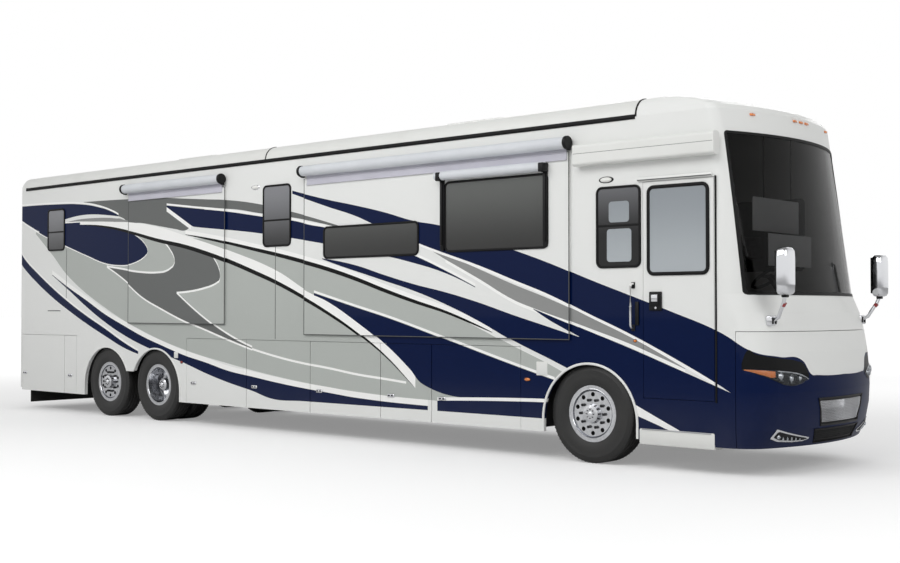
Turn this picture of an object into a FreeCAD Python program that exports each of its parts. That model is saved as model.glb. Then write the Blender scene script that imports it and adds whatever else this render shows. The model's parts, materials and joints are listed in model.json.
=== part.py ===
"""A tag-axle motor coach with three slide-out rooms, as named pieces in millimetres.

The row frame: +X forward, +Y to the driver's side, +Z up, origin on the ground under the
middle of the body.  The kerb side, with the entry door, is at negative Y.  In the tables, a
station is a distance forward of the front axle, so what lies behind the axle is negative.
"""
import FreeCAD, Part
import math
import os
import re

doc = FreeCAD.newDocument("Motorhome")

# ---------------------------------------------------------------- driving dimensions

SIZES = (
    # alias, millimetres or degrees, what it is
    ("wheelbase", 7690, "front axle to drive axle"),
    ("tandem", 1250, "drive axle to tag axle"),
    ("front_overhang", 2240, "front axle to the foremost point of the mask"),
    ("rear_overhang", 2560, "tag axle to the back"),
    ("body_width", 2565, "over the side walls"),
    ("roof_top", 3800, "ground to the flat of the roof"),
    ("roof_shoulder", 200, "radius where roof and walls meet"),
    ("skirt_bottom", 300, "ground to the lower edge of walls and bay doors"),
    ("wall", 60, "thickness of walls, roof and caps"),
    ("skin", 40, "outer layer of a wall, as deep as a door is thick"),
    ("seat_gap", 0.3, "between a closed door and the lip behind it"),
    ("door_gap", 5, "between a door's edge and the wall round it"),
    ("lip", 25, "how far a door laps over its inner lip"),
    ("pane_proud", 6, "how far a window stands out of its wall"),
    ("pane_depth", 12, "thickness of a window's glass"),
    ("corner", 60, "radius of a window's corners"),
    ("floor_bottom", 1150, "ground to the underside of the cabin floor"),
    ("floor_depth", 100, "thickness of the cabin floor"),
    ("rail_depth", 250, "height of a chassis rail"),
    ("rail_outside", 470, "middle to the outer face of a rail"),
    ("rail_width", 80, "width of a rail"),
    ("bay_floor_depth", 40, "thickness of the luggage bays' floor"),
    ("bulkhead", 30, "thickness of a wall between two bays"),
    ("bay_top", 1215, "ground to the upper edge of the bay doors"),
    ("tyre_radius", 521.5, "295/80 R 22.5 tyre"),
    ("tyre_width", 296, "section width of a tyre"),
    ("bead_radius", 286, "22.5 inch rim seat"),
    ("track_half", 1100, "middle to the centre of an outer tyre"),
    ("dual_pitch", 340, "outer to inner tyre of the drive axle"),
    ("arch_radius", 610, "wheel arch"),
    ("arch_centre", 450, "height of the arch's centre"),
    ("saddle_top", 710, "height of the panel between the rear wheels"),
    ("fit_gap", 0.3, "running clearance at spindles and seats"),
    ("slide_gap", 6, "between a slide-out and its opening"),
    ("slide_depth", 750, "how far a slide-out reaches in from the wall's face"),
    ("slide_skin", 40, "walls of a slide-out"),
    ("fascia_depth", 25, "thickness of a slide-out's face, outside the wall"),
    ("fascia_lap", 40, "how far the face laps over the opening"),
    ("topper_radius", 70, "roller tube over a slide-out"),
    ("door_bottom", 720, "ground to the entry door"),
    ("door_top", 2920, "ground to the top of the entry door"),
    ("door_rear", 670, "station of the entry door's latch edge"),
    ("cap_seam", 1490, "station where walls meet the front cap"),
    ("crown_seam", 585, "station where roof and upper walls meet the front cap"),
    ("brow_bottom", 2960, "height above which the front cap reaches back over the doors"),
    ("mask_seam", 1710, "station of the sliding mask's side edge"),
    ("mask_top", 1410, "height of the sliding mask's upper edge"),
    ("mask_gap", 6, "between mask and cap"),
    ("screen_bottom", 1770, "lower edge of the windshield"),
    ("screen_top", 3370, "upper edge of the windshield"),
    ("screen_half", 1200, "middle to the windshield's side edge"),
    ("front_arc", 3000, "radius of the front in plan"),
    ("front_corner", 350, "radius of the front's corners in plan, up to the windshield"),
    ("brow_corner", 120, "radius of the front's corners at the roof line"),
    ("rear_cap_depth", 100, "how far the rear cap wraps round"),
    ("rear_round", 80, "radius round the rear cap"),
    ("rear_panel", 40, "thickness of the rear face"),
    ("rear_bottom", 340, "ground to the rear cap"),
    ("hatch_half", 760, "half the engine hatch's width"),
    ("hatch_bottom", 760, "ground to the engine hatch"),
    ("hatch_top", 1660, "ground to the hatch's hinge"),
    ("kingpin", 930, "middle to a kingpin"),
    ("spindle", 40, "radius of a wheel spindle"),
    ("hub_bore", 60, "radius of the drive axle inside its hubs"),
    ("beam_depth", 110, "height of the front axle beam"),
    ("generator_half", 330, "half the generator's width"),
)

sheet = doc.addObject("Spreadsheet::Sheet", "Sizes")
for row, (alias, number, meaning) in enumerate(SIZES, 1):
    sheet.set(f"A{row}", meaning)
    sheet.set(f"B{row}", str(number))
    sheet.setAlias(f"B{row}", alias)
doc.recompute()
size = {alias: float(sheet.get(alias)) for alias, _, _ in SIZES}

# Formulas in the sheet's words, used by every piece that is bound to it.
AXLE = "((wheelbase + tandem + rear_overhang - front_overhang) / 2)"
HALF = "(body_width / 2)"
ROOF_LINE = "(roof_top - roof_shoulder)"
TAIL = f"({AXLE} - wheelbase - tandem - rear_overhang)"
REAR_SEAM = f"({TAIL} + rear_cap_depth)"
INSIDE = f"({HALF} - wall)"
FLOOR_TOP = "(floor_bottom + floor_depth)"
RAIL_BOTTOM = "(floor_bottom - rail_depth)"

axle_x = (size["wheelbase"] + size["tandem"] + size["rear_overhang"] - size["front_overhang"]) / 2
half_width = size["body_width"] / 2
roof_line = size["roof_top"] - size["roof_shoulder"]
drive_x = axle_x - size["wheelbase"]
tag_x = drive_x - size["tandem"]
tail_x = tag_x - size["rear_overhang"]
rear_seam_x = tail_x + size["rear_cap_depth"]
BEYOND = 400      # how far a cutting tool reaches past what it cuts

# ---------------------------------------------------------------- ways to make a piece

NODES = []


def node(piece, label):
    """Name a finished piece and list it for export."""
    piece.Label = label
    NODES.append(piece)
    return piece


def bind(formula):
    """The formula with the sheet's name before each alias."""
    return re.sub(r"[a-z_]{3,}", lambda word: "Sizes." + word.group(), str(formula))


def station(distance):
    """A station, forward of the front axle, as a formula in the row frame."""
    return f"({AXLE} + ({distance}))"


def from_tag(distance):
    """The station of a place that keeps its distance from the tag axle."""
    return f"-wheelbase - tandem + {distance}"


def outward(side, inner, outer):
    """Y limits between two distances from the middle, on side -1 (kerb) or 1 (driver)."""
    return (inner, outer) if side > 0 else (f"-({outer})", f"-({inner})")


def box(name, x, y, z):
    """A box between two corners; each limit is a formula or a number."""
    piece = doc.addObject("Part::Box", name)
    for word, axis, (low, high) in zip(("Length", "Width", "Height"), "xyz", (x, y, z)):
        piece.setExpression(word, bind(f"({high}) - ({low})"))
        piece.setExpression(f".Placement.Base.{axis}", bind(low))
    return piece


def cylinder(name, axis, radius, centre, low, high):
    """A cylinder along X, Y or Z; centre gives the other two coordinates in X, Y, Z order."""
    piece = doc.addObject("Part::Cylinder", name)
    turn = {"x": ((0, 1, 0), 90), "y": ((1, 0, 0), -90), "z": ((0, 0, 1), 0)}[axis]
    piece.Placement.Rotation = FreeCAD.Rotation(FreeCAD.Vector(*turn[0]), turn[1])
    piece.setExpression("Radius", bind(radius))
    piece.setExpression("Height", bind(f"({high}) - ({low})"))
    others = [letter for letter in "xyz" if letter != axis]
    piece.setExpression(f".Placement.Base.{axis}", bind(low))
    for letter, place in zip(others, centre):
        piece.setExpression(f".Placement.Base.{letter}", bind(place))
    return piece


def fuse(name, pieces):
    """Several pieces as one."""
    piece = doc.addObject("Part::MultiFuse", name)
    piece.Shapes = pieces
    return piece


def cut(name, base, tools):
    """The base without its tools."""
    piece = doc.addObject("Part::Cut", name)
    piece.Base = base
    piece.Tool = tools[0] if len(tools) == 1 else fuse(name + "_tools", tools)
    return piece


def rounded(name, base, axis, radius):
    """A box with the four edges along one axis rounded."""
    doc.recompute()
    direction = FreeCAD.Vector(*[float(letter == axis) for letter in "xyz"])
    edges = [
        (number, radius, radius)
        for number, edge in enumerate(base.Shape.Edges, 1)
        if abs(abs(edge.tangentAt(edge.FirstParameter).dot(direction)) - 1) < 1e-6
    ]
    piece = doc.addObject("Part::Fillet", name)
    piece.Base = base
    piece.Edges = edges
    return piece


def outline(body, name, plane, points, shift=0.0):
    """A closed sketch on one of the body's planes.

    Each point is (u, v), reached by a line, or (u, v, mid_u, mid_v), reached by an arc
    through the middle point.
    """
    sketch = body.newObject("Sketcher::SketchObject", name)
    origin_plane = [f for f in body.Origin.OriginFeatures if f.Role == plane][0]
    sketch.AttachmentSupport = [(origin_plane, "")]
    sketch.MapMode = "FlatFace"
    sketch.AttachmentOffset.Base = FreeCAD.Vector(0, 0, shift)
    flat = [FreeCAD.Vector(point[0], point[1], 0) for point in points]
    for number, point in enumerate(points):
        start, end = flat[number - 1], flat[number]
        if len(point) == 4:
            middle = FreeCAD.Vector(point[2], point[3], 0)
            sketch.addGeometry(Part.Arc(start, middle, end), False)
        else:
            sketch.addGeometry(Part.LineSegment(start, end), False)
    return sketch


def padded(name, plane, points, length, shift=0.0):
    """A PartDesign body: one outline, padded along its plane's normal."""
    body = doc.addObject("PartDesign::Body", name)
    pad = body.newObject("PartDesign::Pad", name + "_pad")
    pad.Profile = outline(body, name + "_outline", plane, points, shift)
    pad.setExpression("Length", bind(length))
    body.Tip = pad
    return body, pad

# ---------------------------------------------------------------- chassis and axles

CROSSMEMBERS = (1550, 300, -1000, -2300, -3600, -4900, -6200, -7150, -8300, -9500)   # stations
CROSSMEMBER_HALF = 40
REAR_BEAM = (-2310, -2210)          # of the tail beam, from the tag axle
RAIL_START = 1600
RECEIVER_OUTSIDE = 31.75            # half of a 2 1/2 inch square tube
RECEIVER_INSIDE = 25.5              # half of its 51 mm socket
RECEIVER_HEIGHT = 440
FLAP_TOP = 370
FLAP_BOTTOM = 100
FLAP_HALF = 1200


def chassis():
    """Two rails and their crossmembers, the tail beam, its tow socket and the mud flap."""
    rail_z = (RAIL_BOTTOM, "floor_bottom")
    rail_inside = "(rail_outside - rail_width)"
    tail, ahead = (from_tag(place) for place in REAR_BEAM)
    pieces = [
        box(f"rail_{side}", (station(tail), station(RAIL_START)),
            outward(side, rail_inside, "rail_outside"), rail_z)
        for side in (-1, 1)
    ]
    for number, place in enumerate(CROSSMEMBERS):
        pieces.append(box(
            f"crossmember_{number}",
            (station(place - CROSSMEMBER_HALF), station(place + CROSSMEMBER_HALF)),
            (f"-{rail_inside}", rail_inside), (f"{RAIL_BOTTOM} + 50", "floor_bottom"),
        ))
    pieces.append(box("tail_beam", (station(tail), station(ahead)),
                      ("-rail_outside", "rail_outside"), (FLAP_TOP, "floor_bottom")))
    pieces.append(box("flap_bar", (station(f"{tail} - 20"), station(tail)),
                      (-FLAP_HALF, FLAP_HALF), (FLAP_TOP, FLAP_TOP + 35)))
    pieces.append(box("mud_flap", (station(f"{tail} - 20"), station(f"{tail} - 10")),
                      (-FLAP_HALF, FLAP_HALF), (FLAP_BOTTOM, FLAP_TOP)))
    low, high = RECEIVER_HEIGHT - RECEIVER_OUTSIDE, RECEIVER_HEIGHT + RECEIVER_OUTSIDE
    pieces.append(box("receiver_tube", (f"{TAIL} + 5", station(tail)),
                      (-RECEIVER_OUTSIDE, RECEIVER_OUTSIDE), (low, high)))
    socket = box("receiver_socket", (f"{TAIL} - 10", station(f"{tail} - 25")),
                 (-RECEIVER_INSIDE, RECEIVER_INSIDE),
                 (RECEIVER_HEIGHT - RECEIVER_INSIDE, RECEIVER_HEIGHT + RECEIVER_INSIDE))
    node(cut("chassis", fuse("chassis_solid", pieces), [socket]), "chassis_frame")


ENGINE = (-2160, -660)              # from the tag axle


def engine():
    """The rear engine, one plain block hung between the rails."""
    half = "(rail_outside - rail_width)"
    rear, front = (from_tag(place) for place in ENGINE)
    block = box("engine", (station(rear), station(front)), (f"-{half}", half),
                (400, "floor_bottom"))
    node(block, "engine_block")


EYE_RADIUS = 45
PIN_RADIUS = 20
AIR_SPRING = 90
SPRING_OFFSET = 430                 # middle to an air spring, under the rail


def front_axle():
    """A beam with a kingpin eye at each end, on two air springs."""
    half_beam = "(beam_depth / 2)"
    pieces = [box("beam", (f"{AXLE} - {half_beam}", f"{AXLE} + {half_beam}"),
                  ("-kingpin", "kingpin"),
                  (f"tyre_radius - {half_beam}", f"tyre_radius + {half_beam}"))]
    bores = []
    for side in (-1, 1):
        centre = (AXLE, f"{side} * kingpin")
        pieces.append(cylinder(f"eye_{side}", "z", EYE_RADIUS + 15, centre,
                               f"tyre_radius - {half_beam}", f"tyre_radius + {half_beam}"))
        pieces.append(cylinder(f"front_spring_{side}", "z", AIR_SPRING,
                               (AXLE, side * SPRING_OFFSET), f"tyre_radius + {half_beam}",
                               RAIL_BOTTOM))
        bores.append(cylinder(f"eye_bore_{side}", "z", f"{PIN_RADIUS} + fit_gap", centre,
                              f"tyre_radius - beam_depth", f"tyre_radius + beam_depth"))
    node(cut("front_beam", fuse("front_beam_solid", pieces), bores), "front_axle")


DIFFERENTIAL = (210, 50, 95, 230)   # middle: radius, half width; ends: radius, from the middle
SHAFT = (45, 120)                   # radius, height over the axle


def rear_axles():
    """The drive axle with its differential and shaft, and the tag axle behind it."""
    drive = f"({AXLE} - wheelbase)"
    tag = f"({AXLE} - wheelbase - tandem)"
    pieces = [
        cylinder("drive_tube", "y", "hub_bore", (drive, "tyre_radius"),
                 "-(track_half - 20 - fit_gap)", "track_half - 20 - fit_gap"),
        cylinder("tag_tube", "y", "spindle", (tag, "tyre_radius"),
                 "-(track_half + 60 - fit_gap)", "track_half + 60 - fit_gap"),
        cylinder("shaft", "x", SHAFT[0], (0, f"tyre_radius + {SHAFT[1]}"),
                 station(from_tag(ENGINE[1])), drive),
    ]
    centre_radius, centre_reach, end_radius, end_reach = DIFFERENTIAL
    for side in (-1, 1):
        cone = doc.addObject("Part::Cone", f"differential_{side}")
        cone.Radius1, cone.Radius2 = centre_radius, end_radius
        cone.Height = end_reach - centre_reach
        cone.Placement.Base.y = side * centre_reach
        cone.Placement.Rotation = FreeCAD.Rotation(FreeCAD.Vector(1, 0, 0), -90 * side)
        cone.setExpression(".Placement.Base.x", bind(drive))
        cone.setExpression(".Placement.Base.z", bind("tyre_radius"))
        pieces.append(cone)
    pieces.append(cylinder("differential_middle", "y", centre_radius, (drive, "tyre_radius"),
                           -centre_reach, centre_reach))
    for name, place in (("drive", drive), ("tag", tag)):
        for side in (-1, 1):
            pieces.append(cylinder(f"{name}_spring_{side}", "z", AIR_SPRING,
                                   (place, side * SPRING_OFFSET), "tyre_radius", RAIL_BOTTOM))
    node(fuse("rear_running_gear", pieces), "rear_axles")


# ---------------------------------------------------------------- floor, bays and roof

STEPWELL_INNER = 620                # middle to the stepwell's inner side
STEPS = (                           # outer edge, inner edge (from the middle), top
    (1222.5, 920, 720),
    (920, 620, 985),
)
STEP_DEPTH = 40
FLOOR_FRONT = 1600                  # station
BULKHEADS = (-6950, -5620, -4345, -3080, -2240, -920)   # stations
BAY_REAR, BAY_FRONT = -6965, -905


def cabin_floor():
    """The floor on the rails, with the stepwell inside the entry door."""
    plate = box("floor_plate", (REAR_SEAM, station(FLOOR_FRONT)), (f"-{INSIDE}", INSIDE),
                ("floor_bottom", FLOOR_TOP))
    well = box("stepwell", (station("door_rear"), station("cap_seam")),
               (f"-({HALF})", f"-{STEPWELL_INNER}"),
               ("floor_bottom - 10", f"{FLOOR_TOP} + 10"))
    pieces = [cut("floor_with_well", plate, [well])]
    for number, (outer, inner, top) in enumerate(STEPS):
        outside = INSIDE if number == 0 else outer
        pieces.append(box(f"tread_{number}", (station("door_rear"), station("cap_seam")),
                          (f"-{outside}", f"-{inner}"), (top - STEP_DEPTH, top)))
        rise = STEPS[number + 1][2] if number + 1 < len(STEPS) else FLOOR_TOP
        pieces.append(box(f"riser_{number}", (station("door_rear"), station("cap_seam")),
                          (f"-({inner})", f"-({inner} - {STEP_DEPTH})"),
                          (top - STEP_DEPTH, rise)))
    node(fuse("floor_and_steps", pieces), "cabin_floor")


def storage_bays():
    """The luggage bays' floor and the bulkheads that hang it from the rails."""
    pieces = [box("bay_floor", (station(BAY_REAR), station(BAY_FRONT)),
                  (f"-{INSIDE}", INSIDE), ("skirt_bottom", "skirt_bottom + bay_floor_depth"))]
    for number, place in enumerate(BULKHEADS):
        pieces.append(box(f"bulkhead_{number}",
                          (f"{station(place)} - bulkhead / 2", f"{station(place)} + bulkhead / 2"),
                          (f"-{INSIDE}", INSIDE), ("skirt_bottom", RAIL_BOTTOM)))
    node(fuse("bays", pieces), "storage_bays")


def hoop(inset):
    """Half a roof section's points, walls to shoulders, inset all round."""
    reach = half_width - inset
    radius = size["roof_shoulder"] - inset
    slant = radius * math.sqrt(0.5)
    centre = half_width - size["roof_shoulder"]
    top = roof_line + radius
    return reach, centre, slant, top


def roof():
    """The moulded roof: one shell with rounded shoulders, from rear cap to crown."""
    out_reach, centre, out_slant, out_top = hoop(0)
    in_reach, _, in_slant, in_top = hoop(size["wall"])
    line = roof_line
    points = (
        (out_reach, line),
        (centre, out_top, centre + out_slant, line + out_slant),
        (-centre, out_top),
        (-out_reach, line, -centre - out_slant, line + out_slant),
        (-in_reach, line),
        (-centre, in_top, -centre - in_slant, line + in_slant),
        (centre, in_top),
        (in_reach, line, centre + in_slant, line + in_slant),
    )
    body, _ = padded("roof_shell", "YZ_Plane", points,
                     f"{AXLE} + crown_seam - {REAR_SEAM}", rear_seam_x)
    node(body, "roof")


AIR_CONDITIONERS = (-8000, -2400)   # stations
AIR_CONDITIONER = (500, 350, 160)   # half length, half width, height


def roof_units():
    """Two low air conditioners on the roof, the foremost of what stands there."""
    long_half, wide_half, height = AIR_CONDITIONER
    pieces = []
    for number, place in enumerate(AIR_CONDITIONERS):
        shroud = box(f"shroud_{number}", (station(place - long_half), station(place + long_half)),
                     (-wide_half, wide_half), ("roof_top", f"roof_top + {height}"))
        pieces.append(rounded(f"shroud_{number}_round", shroud, "z", 120))
    node(fuse("shrouds", pieces), "roof_units")


def rear_cap():
    """The moulded back: a rounded tray with openings for the hatch, lamps and tow socket."""
    out_reach, centre, out_slant, out_top = hoop(0)
    line, low = roof_line, size["rear_bottom"]
    outer = (
        (out_reach, low),
        (out_reach, line),
        (centre, out_top, centre + out_slant, line + out_slant),
        (-centre, out_top),
        (-out_reach, line, -centre - out_slant, line + out_slant),
        (-out_reach, low),
    )
    body, pad = padded("tail", "YZ_Plane", outer, "rear_cap_depth", tail_x)
    doc.recompute()
    rims = []
    for number, edge in enumerate(pad.Shape.Edges, 1):
        box_of_edge = edge.BoundBox
        if box_of_edge.XMax < tail_x + 1 and box_of_edge.ZMax > low + 1:
            rims.append(f"Edge{number}")
    fillet = body.newObject("PartDesign::Fillet", "tail_round")
    fillet.Base = (pad, rims)
    fillet.setExpression("Radius", bind("rear_round"))
    in_reach, _, in_slant, in_top = hoop(size["wall"])
    inner = (
        (in_reach, low - 20),
        (in_reach, line),
        (centre, in_top, centre + in_slant, line + in_slant),
        (-centre, in_top),
        (-in_reach, line, -centre - in_slant, line + in_slant),
        (-in_reach, low - 20),
    )
    hollow = body.newObject("PartDesign::Pocket", "tail_hollow")
    hollow.Profile = outline(body, "tail_hollow_outline", "YZ_Plane", inner, rear_seam_x)
    hollow.setExpression("Length", bind("rear_cap_depth - rear_panel"))
    body.Tip = hollow
    doc.recompute()
    if hollow.Shape.Volume > 0.8 * fillet.Shape.Volume:
        raise ValueError("the rear cap's hollow points out of the cap")
    through = (f"{TAIL} - 10", f"{TAIL} + rear_cap_depth + 10")
    split = f"{TAIL} + rear_panel * 0.6"
    tools = [
        box("hatch_hole", through, ("-(hatch_half - lip)", "hatch_half - lip"),
            ("hatch_bottom + lip", "hatch_top - lip")),
        box("hatch_seat", (f"{TAIL} - 10", split),
            ("-(hatch_half + door_gap)", "hatch_half + door_gap"),
            ("hatch_bottom - door_gap", "hatch_top + door_gap")),
        box("tow_notch", through, (-120, 120), ("rear_bottom - 10", 520)),
    ]
    for number, (low_y, high_y, low_z, high_z) in enumerate(TAIL_LAMPS):
        for side in (-1, 1):
            tools.append(box(f"lamp_hole_{number}_{side}", through,
                             outward(side, low_y, high_y), (low_z, high_z)))
    node(cut("tail_cap", body, tools), "rear_cap")
    hatch = box("hatch", (TAIL, f"{split} - seat_gap"), ("-hatch_half", "hatch_half"),
                ("hatch_bottom", "hatch_top"))
    node(hatch, "engine_hatch")


TAIL_LAMPS = (                      # inner edge, outer edge (from the middle), bottom, top
    (930, 1140, 800, 1060),
    (930, 1140, 1120, 1560),
)


def tail_lamps():
    """Stop, turn and reversing lamps, let into the rear face on both sides."""
    pieces = []
    for number, (inner, outer, low, high) in enumerate(TAIL_LAMPS):
        for side in (-1, 1):
            pieces.append(box(f"tail_lamp_{number}_{side}", (TAIL, f"{TAIL} + rear_panel"),
                              outward(side, inner, outer), (low, high)))
    node(fuse("tail_lamp_group", pieces), "tail_lamps")

# ---------------------------------------------------------------- walls, doors and windows

KERB, DRIVER = -1, 1
SIDE_NAMES = {KERB: "right", DRIVER: "left"}

BAY_DOORS = {                       # rear edge, front edge (stations)
    KERB: ((from_tag(-2445), from_tag(-1180)), (from_tag(-1180), from_tag(-830)),
           (-6950, -5620), (-5620, -4345),
           (-4345, -3080), (-3080, -2240), (-2240, -910)),
    DRIVER: ((-6950, -5620), (-5620, -4345), (-4345, -2240), (-2240, -910)),
}
WALL_WINDOWS = {                    # rear, front (stations), bottom, top
    KERB: ((from_tag(-1680), from_tag(-1200), 2570, 3220), (-5270, -4730, 2460, 3260), (110, 640, 2060, 2890)),
    DRIVER: ((from_tag(-1680), from_tag(-1200), 2570, 3220), (330, 1230, 2060, 2890)),
}
SLIDES = (                          # name, side, rear, front (stations), bottom, top
    ("slide_front_right", KERB, -4440, -240, 1300, 3300),
    ("slide_rear_right", KERB, -8350, -6070, 1420, 3300),
    ("slide_left", DRIVER, -8300, -600, 1300, 3300),
)
SLIDE_WINDOWS = {                   # rear, front (stations), bottom, top
    "slide_front_right": ((-4060, -2430, 2270, 2660), (-2000, -520, 2290, 3090)),
    "slide_rear_right": (),
    "slide_left": ((-7400, -6300, 2500, 3050), (-5300, -4000, 2300, 3050),
                   (-2600, -1200, 2300, 3050)),
}
TOPPERS = {                         # rear, front (stations), height of the roller
    "slide_front_right": (-4580, -200, 3395),
    "slide_rear_right": (-8600, -6060, 3415),
    "slide_left": (-8440, -460, 3395),
}
TOPPER_FLANGE = (235, 12)           # below the roller's middle down the face, thickness
WINDOW_AWNING = (-2120, -500, 3165, 58)     # rear, front (stations), height, radius
AWNING_ARMS = ((-2070, -1980), (-570, -510))    # rear, front (stations)
AWNING_ARM = (2290, 30)             # lower end's height, thickness
DOOR_AWNING = (-130, 1550, 3130, 3360, 115)     # rear, front, bottom, top, depth
DOOR_WINDOW = (740, 1420, 1980, 2860)


def window_block(name, side, opening, depth):
    """A window's outline between two distances from the middle, with rounded corners."""
    rear, front, low, high = opening
    block = box(name, (station(rear), station(front)), outward(side, *depth), (low, high))
    return rounded(name + "_round", block, "y", size["corner"])


def pane(name, side, opening, face):
    """Glass that fills a window's opening and stands a little proud of the face."""
    return window_block(name, side, opening,
                        (f"{face} + pane_proud - pane_depth", f"{face} + pane_proud"))


def door_cuts(name, side, rear, front, low, high, open_below=False):
    """The seat of a door in the outer layer, and the smaller hole behind it."""
    bottom = f"{low} - {BEYOND}" if open_below else low
    inner_bottom = bottom if open_below else f"{low} + lip"
    return [
        box(name + "_seat", (station(rear), station(front)),
            outward(side, f"{HALF} - skin", f"{HALF} + 10"), (bottom, high)),
        box(name + "_hole", (f"{station(rear)} + lip", f"{station(front)} - lip"),
            outward(side, f"{INSIDE} - 10", f"{HALF} + 10"), (inner_bottom, f"{high} - lip")),
    ]


def door_leaf(name, side, rear, front, low, high):
    """A door as thick as the wall's outer layer, clear of its frame all round."""
    return box(name, (f"{station(rear)} + door_gap", f"{station(front)} - door_gap"),
               outward(side, f"{HALF} - skin + seat_gap", HALF), (low, high))


def arch_cuts(side):
    """The front arch, and the rear opening over drive and tag wheels with its saddle."""
    depth = outward(side, f"{INSIDE} - 10", f"{HALF} + 10")
    places = (AXLE, f"({AXLE} - wheelbase)", f"({AXLE} - wheelbase - tandem)")
    below = ("skirt_bottom - 10", "arch_centre")
    tools = [cylinder(f"arch_{side}_{number}", "y", "arch_radius", (place, "arch_centre"), *depth)
             for number, place in enumerate(places)]
    tools.append(box(f"arch_{side}_front", (f"{AXLE} - arch_radius", f"{AXLE} + arch_radius"),
                     depth, below))
    tools.append(box(f"arch_{side}_rear", (f"{places[2]} - arch_radius",
                                           f"{places[1]} + arch_radius"), depth, below))
    tools.append(box(f"arch_{side}_saddle", (places[2], places[1]), depth,
                     ("arch_centre - 1", "saddle_top")))
    return tools


def side_wall(side):
    """A wall from rear cap to front cap, with every opening that is cut in it."""
    name = "side_wall_" + SIDE_NAMES[side]
    plate = box(name + "_plate", (REAR_SEAM, station("cap_seam")), outward(side, INSIDE, HALF),
                ("skirt_bottom", ROOF_LINE))
    tools = arch_cuts(side)
    tools.append(box(name + "_brow", (station("crown_seam"), station("cap_seam + 10")),
                     outward(side, f"{INSIDE} - 10", f"{HALF} + 10"),
                     ("brow_bottom", f"{ROOF_LINE} + 10")))
    for number, (rear, front) in enumerate(BAY_DOORS[side]):
        tools += door_cuts(f"{name}_bay_{number}", side, rear, front, "skirt_bottom",
                           "bay_top", open_below=True)
    for number, opening in enumerate(WALL_WINDOWS[side]):
        tools.append(window_block(f"{name}_window_{number}", side, opening,
                                  (f"{INSIDE} - 10", f"{HALF} + 10")))
    for slide, slide_side, rear, front, low, high in SLIDES:
        if slide_side == side:
            inset = "fascia_lap - slide_gap"
            tools.append(box(f"{slide}_opening",
                             (f"{station(rear)} + {inset}", f"{station(front)} - ({inset})"),
                             outward(side, f"{INSIDE} - 10", f"{HALF} + 10"),
                             (f"{low} + {inset}", f"{high} - ({inset})")))
    if side == KERB:
        tools += door_cuts("entry", side, "door_rear", "cap_seam", "door_bottom", "door_top")
    node(cut(name + "_cut", plate, tools), name)


def bay_doors(side):
    """The luggage doors of one side, each hinged at its front edge."""
    for number, (rear, front) in enumerate(BAY_DOORS[side], 1):
        name = f"bay_door_{SIDE_NAMES[side]}_{number}"
        leaf = door_leaf(name + "_leaf", side, rear, front, "skirt_bottom", "bay_top - door_gap")
        node(leaf, name)


def entry_door():
    """The entry door, hinged at its front edge, and the window in it."""
    leaf = door_leaf("entry_leaf", KERB, "door_rear", "cap_seam",
                     "door_bottom + door_gap", "door_top - door_gap")
    hole = window_block("entry_window_hole", KERB, DOOR_WINDOW, (f"{INSIDE} - 10", f"{HALF} + 10"))
    node(cut("entry_leaf_cut", leaf, [hole]), "entry_door")
    node(pane("entry_pane", KERB, DOOR_WINDOW, HALF), "entry_door_window")


def side_windows():
    """The fixed windows of both walls."""
    panes = [
        pane(f"pane_{SIDE_NAMES[side]}_{number}", side, opening, HALF)
        for side in (KERB, DRIVER)
        for number, opening in enumerate(WALL_WINDOWS[side])
    ]
    node(fuse("wall_panes", panes), "side_windows")


def slide_out(name, side, rear, front, low, high):
    """A room that slides out: a tube open inboard, with a face lapping over the wall."""
    face = f"({HALF} + seat_gap + fascia_depth)"
    edge = {"x": (f"{station(rear)} + fascia_lap", f"{station(front)} - fascia_lap"),
            "z": (f"{low} + fascia_lap", f"{high} - fascia_lap")}
    tube = box(name + "_tube", edge["x"],
               outward(side, f"{HALF} - slide_depth", f"{HALF} + seat_gap + 1"), edge["z"])
    room = box(name + "_room",
               (f"{edge['x'][0]} + slide_skin", f"{edge['x'][1]} - slide_skin"),
               outward(side, f"{HALF} - slide_depth - 10", f"{HALF} - slide_skin"),
               (f"{edge['z'][0]} + slide_skin", f"{edge['z'][1]} - slide_skin"))
    fascia = box(name + "_fascia", (station(rear), station(front)),
                 outward(side, f"{HALF} + seat_gap", face), (low, high))
    holes = [room] + [
        window_block(f"{name}_hole_{number}", side, opening,
                     (f"{INSIDE} - 10", f"{face} + 10"))
        for number, opening in enumerate(SLIDE_WINDOWS[name])
    ]
    node(cut(name + "_box", fuse(name + "_solid", [tube, fascia]), holes), name)
    panes = [pane(f"{name}_pane_{number}", side, opening, face)
             for number, opening in enumerate(SLIDE_WINDOWS[name])]
    if panes:
        node(fuse(name + "_panes", panes), name + "_windows")
    rear, front, height = TOPPERS[name]
    drop, thickness = TOPPER_FLANGE
    reach = outward(side, face, f"{face} + {thickness}")
    middle = f"({HALF} + 8 + topper_radius)"
    pieces = [
        cylinder(name + "_roller", "x", "topper_radius",
                 (middle if side > 0 else f"-{middle}", height), station(rear), station(front)),
        box(name + "_flange", (station(rear + 200), station(front - 60)), reach,
            (height - drop + 60, height)),
    ]
    if name == "slide_front_right":
        rear, front, height, radius = WINDOW_AWNING
        low_end, depth = AWNING_ARM
        pieces.append(cylinder("window_awning", "x", radius,
                               (f"-({face} + {radius})", height), station(rear), station(front)))
        for number, (arm_rear, arm_front) in enumerate(AWNING_ARMS):
            pieces.append(box(f"awning_arm_{number}", (station(arm_rear), station(arm_front)),
                              outward(side, f"{face} + pane_proud", f"{face} + {depth}"),
                              (low_end, height)))
    node(fuse(name + "_topper_solid", pieces), name + "_awning")


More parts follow.
